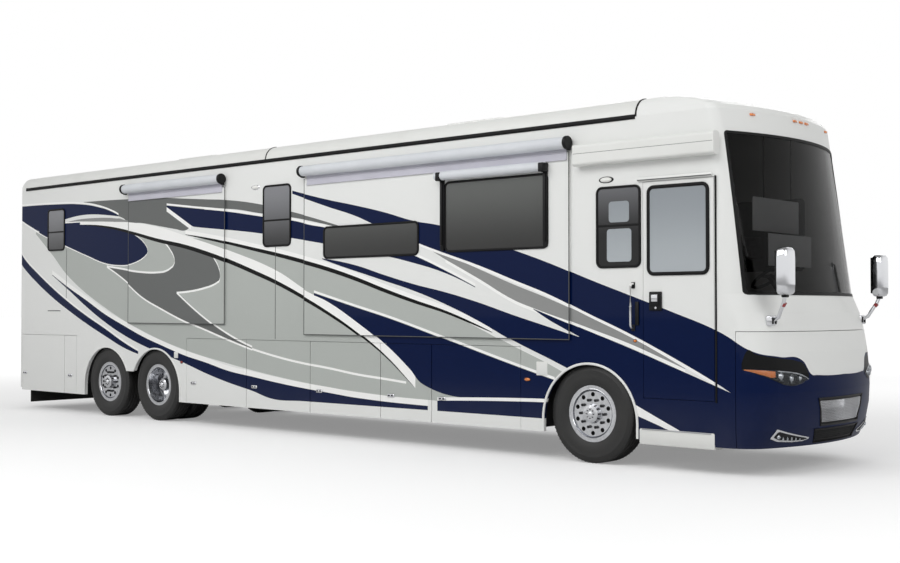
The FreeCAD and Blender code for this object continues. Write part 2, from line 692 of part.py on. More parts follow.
def door_awning():
    """The folded awning over the entry door, in its long box."""
    rear, front, low, high, depth = DOOR_AWNING
    case = box("awning_case", (station(rear), station(front)),
               outward(KERB, HALF, f"{HALF} + {depth}"), (low, high))
    node(rounded("awning_case_round", case, "x", 35), "door_awning")

# ---------------------------------------------------------------- the front

NOSE = (                            # height, foremost point (station)
    (280, 2120),
    (640, 2230),
    (1000, 2234),
    (1410, 2180),
    (1770, 2050),
)
NOSE_PARTS = 2                      # levels from each of those heights to the next
SCREEN_PARTS = 4                    # levels from the last of them to the roof line
BROW = 1770                         # station of the foremost point at the roof line
CAP_BACK = 400                      # station behind every seam of the cap
CROWN_FRONT = 1000                  # station where the crown is level with the roof
CROWN_ANGLES = (0, 15, 30, 45, 60, 75, 90)    # degrees round the shoulder
CROWN_POWER = 1.5                   # how soon the crown falls away towards the front


def plan(height, foremost, reach, corner, inset):
    """One level of the front in plan: straight sides, corner arcs and a wide front arc."""
    front_radius = size["front_arc"] - inset
    corner_radius = corner - inset
    corner_y = reach - corner_radius
    centre_x = foremost - front_radius
    apart = front_radius - corner_radius
    corner_x = centre_x + math.sqrt(apart ** 2 - corner_y ** 2)
    joint = math.atan2(corner_y, corner_x - centre_x)
    bend = (joint + math.pi / 2) / 2

    def at(x, y):
        return FreeCAD.Vector(axle_x + x, y, height)

    def half(sign):
        side = at(corner_x, sign * reach)
        middle = at(corner_x + corner_radius * math.cos(bend),
                    sign * (corner_y + corner_radius * math.sin(bend)))
        end = at(centre_x + front_radius * math.cos(joint),
                 sign * front_radius * math.sin(joint))
        return side, middle, end

    right, right_middle, right_end = half(-1)
    left, left_middle, left_end = half(1)
    back_right, back_left = at(CAP_BACK, -reach), at(CAP_BACK, reach)
    return Part.Wire([
        Part.LineSegment(back_left, back_right).toShape(),
        Part.LineSegment(back_right, right).toShape(),
        Part.Arc(right, right_middle, right_end).toShape(),
        Part.Arc(right_end, at(foremost, 0), left_end).toShape(),
        Part.Arc(left_end, left_middle, left).toShape(),
        Part.LineSegment(left, back_left).toShape(),
    ])


def foremost_at(height):
    """The nose's foremost station at a height, on one smooth curve through NOSE."""
    station_there = 0.0
    for known, foremost in NOSE:
        weight = 1.0
        for other, _ in NOSE:
            if other != known:
                weight *= (height - other) / (known - other)
        station_there += weight * foremost
    return station_there


def nose_solid(inset):
    """The front below the roof line, all of it moved in by an inset."""
    heights = [NOSE[0][0]]
    for (low, _), (high, _) in zip(NOSE, NOSE[1:]):
        heights += [low + (high - low) * step / NOSE_PARTS for step in range(1, NOSE_PARTS + 1)]
    corner = size["front_corner"]
    levels = [plan(height, foremost_at(height) - inset, half_width - inset, corner, inset)
              for height in heights]
    top, foremost = NOSE[-1]
    for step in range(1, SCREEN_PARTS + 1):
        share = step / SCREEN_PARTS
        levels.append(plan(
            top + (roof_line - top) * share, foremost + (BROW - foremost) * share - inset,
            half_width - inset, corner + (size["brow_corner"] - corner) * share, inset,
        ))
    return Part.makeLoft(levels, True, True)


def crown_solid(inset):
    """The crown over the roof line, with the roof's shoulder carried round the front."""
    radius = size["roof_shoulder"] - inset
    middle = half_width - size["roof_shoulder"]
    levels = []
    for angle in CROWN_ANGLES:
        turn = math.radians(angle)
        fall = math.cos(turn) ** CROWN_POWER if angle < 90 else 0.0
        levels.append(plan(
            roof_line + radius * math.sin(turn),
            CROWN_FRONT + (BROW - inset - CROWN_FRONT) * fall,
            middle + radius * (math.cos(turn) if angle < 90 else 0.0),
            size["brow_corner"], inset,
        ))
    return Part.makeLoft(levels, True, True)


def block(x, y, z):
    """A plain cutting block; X limits are stations."""
    low = FreeCAD.Vector(axle_x + x[0], y[0], z[0])
    return Part.makeBox(x[1] - x[0], y[1] - y[0], z[1] - z[0], low)


def prism(points, x):
    """A prism along X over points (y, z), between two stations."""
    flat = [FreeCAD.Vector(axle_x + x[0], y, z) for y, z in points]
    wire = Part.makePolygon(flat + flat[:1])
    return Part.Face(wire).extrude(FreeCAD.Vector(x[1] - x[0], 0, 0))


def mirrored(points):
    """The same outline on the other side."""
    return [(-y, z) for y, z in points]


HEADLAMP = ((-1300, 870), (-690, 880), (-660, 1035), (-1300, 1060))      # y, z
HEADLAMP_REAR = 1840                # station where a headlamp ends on the side
FOG_LAMP = ((-1085, 470), (-560, 455), (-520, 310), (-985, 320))
GRILLE = ((-500, 745), (500, 745), (420, 478), (-420, 478))
INTAKE = ((-500, 440), (500, 440), (440, 305), (-440, 305))
LAMP_DEPTH = 40
GRILLE_INSETS = (8, 34)
AHEAD = 2400                        # station ahead of everything


def feature(name, label, shape):
    """A piece whose form comes straight from Part's own functions."""
    piece = doc.addObject("Part::Feature", name)
    piece.Shape = shape
    return node(piece, label)


def front():
    """Cap, mask, windshield, lamps and grille, all cut from one pair of nested forms."""
    outer, inner = nose_solid(0), nose_solid(size["wall"])
    shell = outer.cut(inner)
    seam, top, gap = size["mask_seam"], size["mask_top"], size["mask_gap"]
    wide = half_width + 10
    mask_block = block((seam, AHEAD), (-wide, wide), (0, top))
    lower = shell.common(block((seam + gap, AHEAD), (-wide, wide), (0, top - gap)))
    upper = shell.cut(mask_block)
    for front_edge, bottom in ((size["cap_seam"], 0), (size["crown_seam"], size["brow_bottom"])):
        upper = upper.cut(block((CAP_BACK - 10, front_edge), (-wide, wide),
                                (bottom, size["brow_bottom"] if bottom == 0 else 5000)))
    screen = block((1400, AHEAD), (-size["screen_half"], size["screen_half"]),
                   (size["screen_bottom"], size["screen_top"]))
    along_x = [edge for edge in screen.Edges if abs(edge.tangentAt(edge.FirstParameter).x) > 0.9]
    screen = screen.makeFillet(size["corner"], along_x)
    crown = crown_solid(0).cut(crown_solid(size["wall"]))
    crown = crown.common(block((size["crown_seam"], AHEAD), (-wide, wide), (0, 5000)))
    feature("cap_shell", "front_cap", upper.cut(screen).fuse(crown).removeSplitter())
    glass = nose_solid(4).cut(nose_solid(4 + size["pane_depth"]))
    feature("screen_glass", "windshield", glass.common(screen))

    lamp_tools, fog_tools = [], []
    for points in (HEADLAMP, mirrored(HEADLAMP)):
        lamp_tools.append(prism(points, (HEADLAMP_REAR, AHEAD)))
    for points in (FOG_LAMP, mirrored(FOG_LAMP)):
        fog_tools.append(prism(points, (seam + 100, AHEAD)))
    grille_tools = [prism(points, (seam + 200, AHEAD)) for points in (GRILLE, INTAKE)]
    mask = lower
    for tool in lamp_tools + fog_tools + grille_tools:
        mask = mask.cut(tool)
    feature("mask_shell", "front_mask", mask)
    lens = outer.cut(nose_solid(LAMP_DEPTH))
    feature("lamp_lenses", "front_lamps",
            Part.makeCompound([lens.common(tool) for tool in lamp_tools + fog_tools]))
    mesh = nose_solid(GRILLE_INSETS[0]).cut(nose_solid(GRILLE_INSETS[1]))
    feature("grille_panels", "front_grille",
            Part.makeCompound([mesh.common(tool) for tool in grille_tools]))
    generator(inner)
    dashboard(nose_solid(DASH_INSET))


TRAY = (760, 2200, 440, 470)        # rear, front (stations), bottom, top
GENERATOR = (790, 1500, 470, 870)
RUNNER = (30, 760, 1560)            # thickness, rear, front (stations)


def generator(inner):
    """The generator on its tray, which hangs from the rails by two runners."""
    half = size["generator_half"]
    rear, front, low, high = TRAY
    rail_bottom = size["floor_bottom"] - size["rail_depth"] - size["seat_gap"]
    tray = block((rear, front), (-half, half), (low, high))
    tray = tray.common(inner)
    rear, front, low, high = GENERATOR
    pieces = [block((rear, front), (-half + 40, half - 40), (low, high))]
    thickness, rear, front = RUNNER
    runner_y = size["rail_outside"] - size["rail_width"] + 20
    for sign in (-1, 1):
        near, far = sorted((sign * (half - 10), sign * (runner_y + thickness)))
        pieces.append(block((rear, front), (near, far), (TRAY[2], TRAY[3])))
        near, far = sorted((sign * runner_y, sign * (runner_y + thickness)))
        pieces.append(block((rear, front), (near, far), (TRAY[2], rail_bottom)))
    feature("generator_set", "generator", tray.multiFuse(pieces).removeSplitter())


DASH_INSET = 64
DASH = (1380, 1700, 2060)           # rear, front under the mask's edge, front above it
DASH_TOP = 1740
DASH_HALF = 1100
STEERING = (1130, 560, 1985)        # station, from the middle, height
STEERING_RADII = (215, 17)
STEERING_TILT = 35


def dashboard(inner):
    """The dashboard, and the steering wheel on its column."""
    floor_top = size["floor_bottom"] + size["floor_depth"]
    rear, low_front, high_front = DASH
    seam = size["mask_top"] + size["mask_gap"]
    body = block((rear, low_front), (-DASH_HALF, DASH_HALF), (floor_top, seam + 1))
    body = body.fuse(block((rear, high_front), (-DASH_HALF, DASH_HALF), (seam, DASH_TOP)))
    body = body.common(inner)
    x, y, z = STEERING
    centre = FreeCAD.Vector(axle_x + x, y, z)
    tilt = math.radians(STEERING_TILT)
    axis = FreeCAD.Vector(-math.sin(tilt), 0, math.cos(tilt))
    radius, grip = STEERING_RADII
    rim_points = [centre
                  + FreeCAD.Vector(0, radius + grip * math.cos(math.radians(turn)), 0)
                  + axis * (grip * math.sin(math.radians(turn))) for turn in range(0, 360, 60)]
    rim_face = Part.Face(Part.makePolygon(rim_points + rim_points[:1]))
    ring = rim_face.revolve(centre, axis, 360)
    column = Part.makeCylinder(32, 420, centre + axis * 10, axis * -1)
    spoke = Part.makeCylinder(grip, 2 * radius, centre - FreeCAD.Vector(0, radius, 0),
                              FreeCAD.Vector(0, 1, 0))
    feature("dash_and_wheel", "dashboard", body.multiFuse([ring, column, spoke]))


SEATS = (560, 560)                  # station of the seat's middle, from the vehicle's middle
SEAT_WIDTH = 540
SEAT_SIDE = (                       # forward of the seat's middle, above the floor
    (-180, 0), (180, 0), (180, 240), (290, 250), (290, 380), (-150, 370),
    (-330, 1180), (-450, 1150), (-270, 250), (-180, 240),
)


def cab_seats():
    """The two seats at the front, each one upholstered form on its pedestal."""
    x, y = SEATS
    floor_top = size["floor_bottom"] + size["floor_depth"]
    points = [(axle_x + x + u, floor_top + v) for u, v in SEAT_SIDE]
    pieces = []
    for sign in (-1, 1):
        body, _ = padded(f"seat_{SIDE_NAMES[sign]}", "XZ_Plane", points, SEAT_WIDTH,
                         -(sign * y + SEAT_WIDTH / 2))
        pieces.append(body)
    node(fuse("seats", pieces), "cab_seats")


MIRROR_HEAD = ((2075, 2205), (1105, 1325), (1745, 2215))     # stations, |y|, z
MIRROR_ARM = ((1900, 1060, size["mask_top"] + 110), (2140, 1215, 1800))   # station, |y|, z
MIRROR_ROUND = 45
MIRROR_ARM_RADIUS = 24
MIRROR_FOOT_RADIUS = 55
MIRROR_FOOT = 60


def mirrors():
    """Two door-high mirrors on arms that stand forward from the cap under the windshield."""
    outer = nose_solid(0)
    pieces = []
    for sign in (-1, 1):
        (x0, x1), (y0, y1), (z0, z1) = MIRROR_HEAD
        low, high = sorted((sign * y0, sign * y1))
        head = block((x0, x1), (low, high), (z0, z1))
        upright = [edge for edge in head.Edges
                   if abs(edge.tangentAt(edge.FirstParameter).z) > 0.9]
        head = head.makeFillet(MIRROR_ROUND, upright)
        ends = [edge for edge in head.Edges
                if abs(edge.tangentAt(edge.FirstParameter).z) < 0.1]
        head = head.makeChamfer(MIRROR_ROUND / 2, ends)
        start, end = (FreeCAD.Vector(axle_x + x, sign * y, z) for x, y, z in MIRROR_ARM)
        along = end - start
        arm = Part.makeCylinder(MIRROR_ARM_RADIUS, along.Length, start, along)
        foot = Part.makeCylinder(MIRROR_FOOT_RADIUS, MIRROR_FOOT + 60,
                                 start - FreeCAD.Vector(60, 0, 0), FreeCAD.Vector(1, 0, 0))
        pieces.append(head.fuse(arm.fuse(foot).cut(outer)))
    feature("mirror_pair", "mirrors", Part.makeCompound(pieces))

# ---------------------------------------------------------------- wheels and steering

BARREL = 24                         # from a rim's bead seat in to the inside of its barrel
RIM_INSIDE = size["bead_radius"] - BARREL
FLANGE = (size["bead_radius"] + 14, 9.7)    # radius and thickness of a rim's edge
DISC = RIM_INSIDE - 24              # outer radius of the flat of a steered wheel's disc
HUB = 105
BEAD_INSET = 33                     # from a tyre's widest point in to its bead
HAND_HOLES = (10, RIM_INSIDE - 57, 24)      # count, pitch radius, hole radius
SHOULDER = (16, 18, 34)             # a tyre's shoulder: in and down to it, in to the tread


def tyre_points(middle):
    """Half a tyre's section, (across, radius), about a middle plane."""
    half, bead, crown = size["tyre_width"] / 2, size["bead_radius"], size["tyre_radius"]
    seat = half - BEAD_INSET
    flange_top = FLANGE[0] + 1
    belly = (bead + crown) / 2
    side_in, side_down, tread_in = SHOULDER
    return (
        (middle - seat, bead),
        (middle - seat, flange_top),
        (middle - half, belly),
        (middle - half + side_in, crown - side_down),
        (middle - half + tread_in, crown),
        (middle + half - tread_in, crown),
        (middle + half - side_in, crown - side_down),
        (middle + half, belly),
        (middle + seat, flange_top),
        (middle + seat, bead),
    )


def steer_rim_points():
    """A rim whose disc is dished outward, on a closed hub; (across, radius)."""
    seat = size["tyre_width"] / 2 - BEAD_INSET
    edge, thick = FLANGE
    bead = size["bead_radius"] - size["fit_gap"]
    bore = size["spindle"] + size["fit_gap"]
    return (
        (-seat - thick, edge), (-seat, edge), (-seat, bead), (seat, bead), (seat, edge),
        (seat + thick, edge), (seat + thick, RIM_INSIDE), (84, RIM_INSIDE - 8),
        (112, DISC), (112, HUB), (160, HUB - 12), (168, HUB - 40), (168, 0),
        (60, 0), (60, bore), (-20, bore), (-20, HUB), (88, HUB), (88, DISC),
        (60, RIM_INSIDE - 8), (-seat - thick, RIM_INSIDE - 8),
    )


def drive_rim_points():
    """Two barrels on one deep-dished disc, with a closed hub; (across, radius)."""
    seat = size["tyre_width"] / 2 - BEAD_INSET
    edge, thick = FLANGE
    bead = size["bead_radius"] - size["fit_gap"]
    bore = size["hub_bore"] + size["fit_gap"]
    pitch = size["dual_pitch"]
    return (
        (seat + thick, RIM_INSIDE + 4), (seat + thick, edge), (seat, edge), (seat, bead),
        (-seat, bead), (-seat, edge), (-seat - thick, edge), (-seat - thick, RIM_INSIDE + 12),
        (seat + thick - pitch, RIM_INSIDE + 12), (seat + thick - pitch, edge),
        (seat - pitch, edge), (seat - pitch, bead), (-seat - pitch, bead),
        (-seat - pitch, edge), (-seat - thick - pitch, edge), (-seat - thick - pitch, RIM_INSIDE),
        (-186, RIM_INSIDE), (-186, HUB), (-300, HUB), (-300, bore), (-20, bore), (-20, 0),
        (70, 0), (70, 62), (52, HUB - 14), (-158, HUB - 4), (-158, RIM_INSIDE - 28),
        (-132, RIM_INSIDE - 6),
    )


def turned(name, side, points):
    """A body revolved about the wheel's axle; points are (across, radius)."""
    body = doc.addObject("PartDesign::Body", name)
    spin = body.newObject("PartDesign::Revolution", name + "_spin")
    placed = [(side * point[0],) + point[1:2] + ((side * point[2], point[3]) if len(point) == 4
                                                  else ()) for point in points]
    sketch = outline(body, name + "_outline", "YZ_Plane", placed)
    spin.Profile = sketch
    spin.ReferenceAxis = (sketch, ["H_Axis"])
    spin.Angle = 360
    body.Tip = spin
    return body


def holed(body, side, disc):
    """The same rim with its ring of hand holes through the disc."""
    count, pitch, radius = HAND_HOLES
    sketch = body.newObject("Sketcher::SketchObject", body.Name + "_hole_outline")
    plane = [f for f in body.Origin.OriginFeatures if f.Role == "XZ_Plane"][0]
    sketch.AttachmentSupport = [(plane, "")]
    sketch.MapMode = "FlatFace"
    sketch.AttachmentOffset.Base = FreeCAD.Vector(0, 0, -side * disc)
    middle = FreeCAD.Vector(0, pitch, 0)
    sketch.addGeometry(Part.Circle(middle, FreeCAD.Vector(0, 0, 1), radius), False)
    pocket = body.newObject("PartDesign::Pocket", body.Name + "_hole")
    pocket.Profile = sketch
    pocket.Midplane = True
    pocket.Length = 90
    doc.recompute()
    pattern = body.newObject("PartDesign::PolarPattern", body.Name + "_holes")
    pattern.Originals = [pocket]
    axis = [f for f in body.Origin.OriginFeatures if f.Role == "Y_Axis"][0]
    pattern.Axis = (axis, [""])
    pattern.Angle = 360
    pattern.Occurrences = count
    body.Tip = pattern
    return body


WHEELS = (                          # name, axle (stations from the sheet), disc, twin
    ("front", AXLE, 98, False),
    ("drive", f"({AXLE} - wheelbase)", -172, True),
    ("tag", f"({AXLE} - wheelbase - tandem)", 98, False),
)


def wheels():
    """Every tyre and rim, right and left; a twin wheel's two tyres share a node."""
    for name, axle, disc, twin in WHEELS:
        for side in (KERB, DRIVER):
            label = f"{name}_{{}}_{SIDE_NAMES[side]}"
            middles = (0, -size["dual_pitch"]) if twin else (0,)
            rubbers = [turned(label.format(f"tyre{number}"), side, tyre_points(middle))
                       for number, middle in enumerate(middles)]
            rim_points = drive_rim_points() if twin else steer_rim_points()
            rim = turned(label.format("rim"), side, rim_points)
            holed(rim, side, disc)
            for body in rubbers + [rim]:
                body.setExpression(".Placement.Base.x", bind(axle))
                body.setExpression(".Placement.Base.y", bind(f"{side} * track_half"))
                body.setExpression(".Placement.Base.z", bind("tyre_radius"))
            tyre = rubbers[0] if len(rubbers) == 1 else fuse(label.format("tyres"), rubbers)
            node(tyre, label.format("tyre"))
            node(rim, label.format("rim"))


YOKE = (30, 5)                      # thickness of a yoke's ear, gap to the axle's eye
UPRIGHT = (995, 1015, 50)           # from the middle, half its length
EAR = (885, 45)                     # from the middle, half its length
ARM_END = (-250, 800)               # steering arm's end: behind the axle, from the middle
ARM = (30, 45)                      # thickness, width
TIE_ROD = (16, 0.5, 24)             # radius, gap under the arms, drop to the rod
ROD_END = (20, 46)                  # radius, length


def knuckle(side):
    """A steering knuckle: yoke and kingpin on the axle's eye, spindle, and steering arm."""
    name = "knuckle_" + SIDE_NAMES[side]
    ear, gap = YOKE
    half_beam = "(beam_depth / 2)"
    low, high = f"tyre_radius - {half_beam} - {gap}", f"tyre_radius + {half_beam} + {gap}"
    inner, outer, upright_half = UPRIGHT
    ear_from, ear_half = EAR
    pieces = [
        box(name + "_upright", (f"{AXLE} - {upright_half}", f"{AXLE} + {upright_half}"),
            outward(side, inner, outer), (f"{low} - {ear}", f"{high} + {ear}")),
        cylinder(name + "_pin", "z", PIN_RADIUS, (AXLE, f"{side} * kingpin"),
                 f"{low} - {ear}", f"{high} + {ear}"),
        cylinder(name + "_spindle", "y", "spindle", (AXLE, "tyre_radius"),
                 *outward(side, outer, "track_half + 60 - fit_gap")),
    ]
    for word, bottom in (("lower", f"{low} - {ear}"), ("upper", high)):
        pieces.append(box(f"{name}_{word}_ear", (f"{AXLE} - {ear_half}", f"{AXLE} + {ear_half}"),
                          outward(side, ear_from, outer), (bottom, f"{bottom} + {ear}")))
    arm_x, arm_y = ARM_END
    thickness, width = ARM
    level = (f"{low} - {ear}", f"{low} - {ear} + {thickness}")
    pieces.append(box(name + "_arm", (f"{AXLE} + {arm_x} - {width / 2}", AXLE),
                      outward(side, ear_from, ear_from + width), level))
    pieces.append(box(name + "_arm_end",
                      (f"{AXLE} + {arm_x} - {width / 2}", f"{AXLE} + {arm_x} + {width / 2}"),
                      outward(side, arm_y - width / 2, ear_from + width), level))
    node(fuse(name + "_solid", pieces), name)


def tie_rod():
    """The rod that couples both steering arms, just under their ends."""
    radius, gap, drop = TIE_ROD
    end_radius, end_length = ROD_END
    arm_x, arm_y = ARM_END
    ear, yoke_gap = YOKE
    top = f"(tyre_radius - beam_depth / 2 - {yoke_gap} - {ear} - {gap})"
    place = f"({AXLE} + {arm_x})"
    pieces = [cylinder("rod", "y", radius, (place, f"{top} - {drop}"), -arm_y, arm_y)]
    for sign in (-1, 1):
        pieces.append(cylinder(f"rod_end_{SIDE_NAMES[sign]}", "z", end_radius,
                               (place, sign * arm_y), f"{top} - {end_length}", top))
    node(fuse("rod_and_ends", pieces), "tie_rod")


# ---------------------------------------------------------------- build, check and write

chassis()
engine()
front_axle()
rear_axles()
cabin_floor()
storage_bays()
roof()
roof_units()
rear_cap()
tail_lamps()
side_wall(KERB)
side_wall(DRIVER)
side_windows()
entry_door()
bay_doors(KERB)
bay_doors(DRIVER)
for slide in SLIDES:
    slide_out(*slide)
door_awning()
front()
cab_seats()
mirrors()
wheels()
knuckle(KERB)
knuckle(DRIVER)
tie_rod()
doc.recompute()

for item in doc.Objects:
    if "Invalid" in item.State or "Error" in item.State:
        raise ValueError(f"{item.Label} failed: {item.State}")
for piece in NODES:
    if piece.Shape.isNull() or not piece.Shape.isValid():
        raise ValueError(f"{piece.Label} has no valid shape")

os.makedirs("parts", exist_ok=True)
for piece in NODES:
    piece.Shape.exportStep(f"parts/{piece.Label}.step")
    print(piece.Label, len(piece.Shape.Solids), round(piece.Shape.Volume / 1e9, 5))
print(len(NODES), "nodes")
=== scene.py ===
# %% [markdown]
# # A tag-axle motorhome, finished in Blender
# The CAD model gives every panel, door and wheel its true size. This lesson adds what makes
# it look real: the swept livery, glass, tyres with tread, polished wheels, lamps,
# awnings and trim. Lengths are metres in the CAD frame: +X forward, +Y driver's side, +Z up.

# %% Load the frame
import bpy
import bmesh
import json
import math
from mathutils import Matrix, Vector
from mathutils.bvhtree import BVHTree


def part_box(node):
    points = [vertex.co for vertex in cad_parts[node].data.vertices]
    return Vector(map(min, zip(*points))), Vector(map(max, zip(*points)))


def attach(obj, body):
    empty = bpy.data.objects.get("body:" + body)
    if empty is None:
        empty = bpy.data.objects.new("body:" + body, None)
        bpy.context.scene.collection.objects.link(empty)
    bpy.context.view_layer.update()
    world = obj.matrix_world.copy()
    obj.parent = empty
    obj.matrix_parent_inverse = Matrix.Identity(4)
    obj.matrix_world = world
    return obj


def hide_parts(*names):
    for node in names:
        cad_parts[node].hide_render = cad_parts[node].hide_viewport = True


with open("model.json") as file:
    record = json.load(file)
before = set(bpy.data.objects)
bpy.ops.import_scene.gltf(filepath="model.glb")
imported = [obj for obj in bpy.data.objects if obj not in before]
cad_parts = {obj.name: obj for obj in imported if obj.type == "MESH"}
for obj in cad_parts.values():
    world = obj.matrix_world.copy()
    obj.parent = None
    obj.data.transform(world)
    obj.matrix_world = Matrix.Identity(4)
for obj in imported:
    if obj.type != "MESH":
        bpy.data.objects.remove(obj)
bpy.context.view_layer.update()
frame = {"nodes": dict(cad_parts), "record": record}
nodes = frame["nodes"]

# %% [markdown]
# The paint and the camera are laid out from the front axle, as a coachbuilder measures, so
# its place comes first. It is the middle of the front tyre's box.

# %% Reference places
tyre_low, tyre_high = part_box("front_tyre_right")
AXLE_X = (tyre_low[0] + tyre_high[0]) / 2
TYRE_RADIUS = (tyre_high[2] - tyre_low[2]) / 2
wall_low, wall_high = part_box("side_wall_right")
HALF_WIDTH = -wall_low[1]
ROOF_LINE = wall_high[2]
roof_low, roof_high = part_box("roof")
KERB, DRIVER = -1, 1
HAND = {KERB: "right", DRIVER: "left"}
print("front axle at", round(AXLE_X, 3), "half width", round(HALF_WIDTH, 4))

# %% [markdown]
# The camera stands at a person's height, well ahead of the front axle and out to the kerb
# side, with a normal lens. Its place is written from the front axle.

# %% Camera
CAMERA_FROM_AXLE = (7.66, -12.142, 1.62)
CAMERA_HEADING = (-0.663, 0.749)
CAMERA_TILT = math.radians(1.28)
LENS_MM = 50.16

scene = bpy.context.scene
camera_data = bpy.data.cameras.new("camera")
camera_data.lens = LENS_MM
camera_data.sensor_width = 36.0
camera = bpy.data.objects.new("camera", camera_data)
scene.collection.objects.link(camera)
heading = Vector((*CAMERA_HEADING, 0)).normalized()
look = heading * math.cos(CAMERA_TILT) + Vector((0, 0, math.sin(CAMERA_TILT)))
camera.location = Vector(CAMERA_FROM_AXLE) + Vector((AXLE_X, 0, 0))
camera.rotation_euler = look.to_track_quat("-Z", "Y").to_euler()
scene.camera = camera
print("camera at", tuple(round(v, 3) for v in camera.location))

# %% [markdown]
# Studio light for a white vehicle: a pale world that fills the shadows, one large soft lamp
# high on the kerb side, and a weaker one ahead of the windshield.

# %% Floor and lights
def area_lamp(name, place, target, width, height, power):
    """One soft rectangular lamp aimed at a point."""
    data = bpy.data.lights.new(name, "AREA")
    data.shape = "RECTANGLE"
    data.size = width
    data.size_y = height
    data.energy = power
    lamp = bpy.data.objects.new(name, data)
    scene.collection.objects.link(lamp)
    lamp.location = place
    aim = Vector(target) - Vector(place)
    lamp.rotation_euler = aim.to_track_quat("-Z", "Y").to_euler()
    return lamp


def add(tree, kind, inputs=None, **settings):
    """Add a node; inputs are values or sockets by name or number, settings are attributes."""
    node = tree.nodes.new(kind)
    for name, value in settings.items():
        setattr(node, name, value)
    for key, value in (inputs or {}).items():
        socket = node.inputs[key]
        if isinstance(value, bpy.types.NodeSocket):
            tree.links.new(value, socket)
        else:
            socket.default_value = value
    return node


def colour(hexcode):
    """An sRGB hex colour as the linear values that Blender works in."""
    parts = [int(hexcode[i:i + 2], 16) / 255 for i in (1, 3, 5)]
    linear = [c / 12.92 if c <= 0.04045 else ((c + 0.055) / 1.055) ** 2.4 for c in parts]
    return (*linear, 1.0)


FLOOR_SIZE = 400.0
floor_mesh = bpy.data.meshes.new("studio_floor")
reach = FLOOR_SIZE / 2
floor_mesh.from_pydata([(-reach, -reach, 0), (reach, -reach, 0), (reach, reach, 0), (-reach, reach, 0)],
                       [], [(0, 1, 2, 3)])
floor = bpy.data.objects.new("studio_floor", floor_mesh)
scene.collection.objects.link(floor)

floor_paint = bpy.data.materials.new("studio floor, matt white paint")
floor_paint.use_nodes = True
tree = floor_paint.node_tree
tree.nodes.clear()
path = add(tree, "ShaderNodeLightPath")
place = add(tree, "ShaderNodeTexCoord")
away = add(tree, "ShaderNodeVectorMath", {0: place.outputs["Object"]}, operation="LENGTH")
fade = add(tree, "ShaderNodeMapRange", {"Value": away.outputs["Value"], "From Min": 7.0,
                                        "From Max": 22.0, "To Min": 0.26, "To Max": 0.66},
           interpolation_type="SMOOTHSTEP")
matt = add(tree, "ShaderNodeBsdfDiffuse", {"Color": colour("#E2E2E2")})
lift = add(tree, "ShaderNodeMath", {0: path.outputs["Is Camera Ray"], 1: fade.outputs["Result"]},
           operation="MULTIPLY")
glow = add(tree, "ShaderNodeEmission", {"Strength": lift.outputs[0]})
both = add(tree, "ShaderNodeAddShader", {0: matt.outputs[0], 1: glow.outputs[0]})
add(tree, "ShaderNodeOutputMaterial", {"Surface": both.outputs[0]})
floor_mesh.materials.append(floor_paint)

AMBIENT = 0.50                    # the pale room's own light on the vehicle
ZENITH = 0.30                     # how dark the ceiling looks in glass and paint
world = bpy.data.worlds.new("pale room")
scene.world = world
world.use_nodes = True
tree = world.node_tree
tree.nodes.clear()
path = add(tree, "ShaderNodeLightPath")
direction = add(tree, "ShaderNodeTexCoord")
split = add(tree, "ShaderNodeSeparateXYZ", {0: direction.outputs["Generated"]})
height = add(tree, "ShaderNodeMapRange", {"Value": split.outputs["Z"], "From Min": 0.25, "From Max": 0.8,
                                          "To Min": 1.0, "To Max": ZENITH})
seen = add(tree, "ShaderNodeMath", {0: path.outputs["Is Camera Ray"], 1: path.outputs["Is Glossy Ray"]},
           operation="MAXIMUM")
seen = add(tree, "ShaderNodeMath", {0: seen.outputs[0], 1: path.outputs["Is Transmission Ray"]},
           operation="MAXIMUM")
strength = add(tree, "ShaderNodeMix", {"Factor": seen.outputs[0], "A": AMBIENT,
                                       "B": height.outputs["Result"]}, data_type="FLOAT")
room = add(tree, "ShaderNodeBackground", {"Color": (1, 1, 1, 1), "Strength": strength.outputs[0]})
add(tree, "ShaderNodeOutputWorld", {"Surface": room.outputs[0]})

middle = (0.0, 0.0, 1.6)
area_lamp("kerb_side_lamp", (1.5, -11.0, 9.5), middle, 16.0, 6.0, 900)
area_lamp("front_lamp", (15.0, -3.0, 7.0), (5.5, 0, 1.8), 7.0, 5.0, 260)
area_lamp("driver_side_lamp", (-2.0, 12.0, 9.0), middle, 14.0, 5.0, 500)
scene.view_settings.view_transform = "Standard"

# %% [markdown]
# The body paint is a base-coat in five colours under one clear coat, sprayed in long sweeps
# that run over walls, doors and slide-outs alike. It could be unwrapped and painted, but a
# shader that reads Object coordinates lines up over every panel by itself. "Along" is the
# distance from the front axle, carried on round the nose and the tail, and each edge of a
# sweep is a Float Curve of heights against it.

# %% How a painted edge is drawn
PAINT_HEIGHT = 4.0                # the Float Curves hold heights as a share of this
NOSE_STARTS = 1.2                 # ahead of this the body turns in towards the nose
TAIL_STARTS = -11.3


def edge(tree, along, points):
    """A painted edge: its height, as a share of PAINT_HEIGHT, for a place along the body."""
    first, last = points[0][0], points[-1][0]
    share = add(tree, "ShaderNodeMapRange", {"Value": along, "From Min": first, "From Max": last})
    line = add(tree, "ShaderNodeFloatCurve", {"Value": share.outputs["Result"]})
    curve = line.mapping.curves[0]
    spots = [((place - first) / (last - first), height / PAINT_HEIGHT) for place, height in points]
    curve.points[0].location = spots[0]
    curve.points[1].location = spots[-1]
    for spot in spots[1:-1]:
        curve.points.new(*spot)
    line.mapping.update()
    return line.outputs["Value"]


def mask_and(tree, *masks):
    """One where all the masks are one."""
    result = masks[0]
    for other in masks[1:]:
        result = add(tree, "ShaderNodeMath", {0: result, 1: other}, operation="MULTIPLY").outputs[0]
    return result


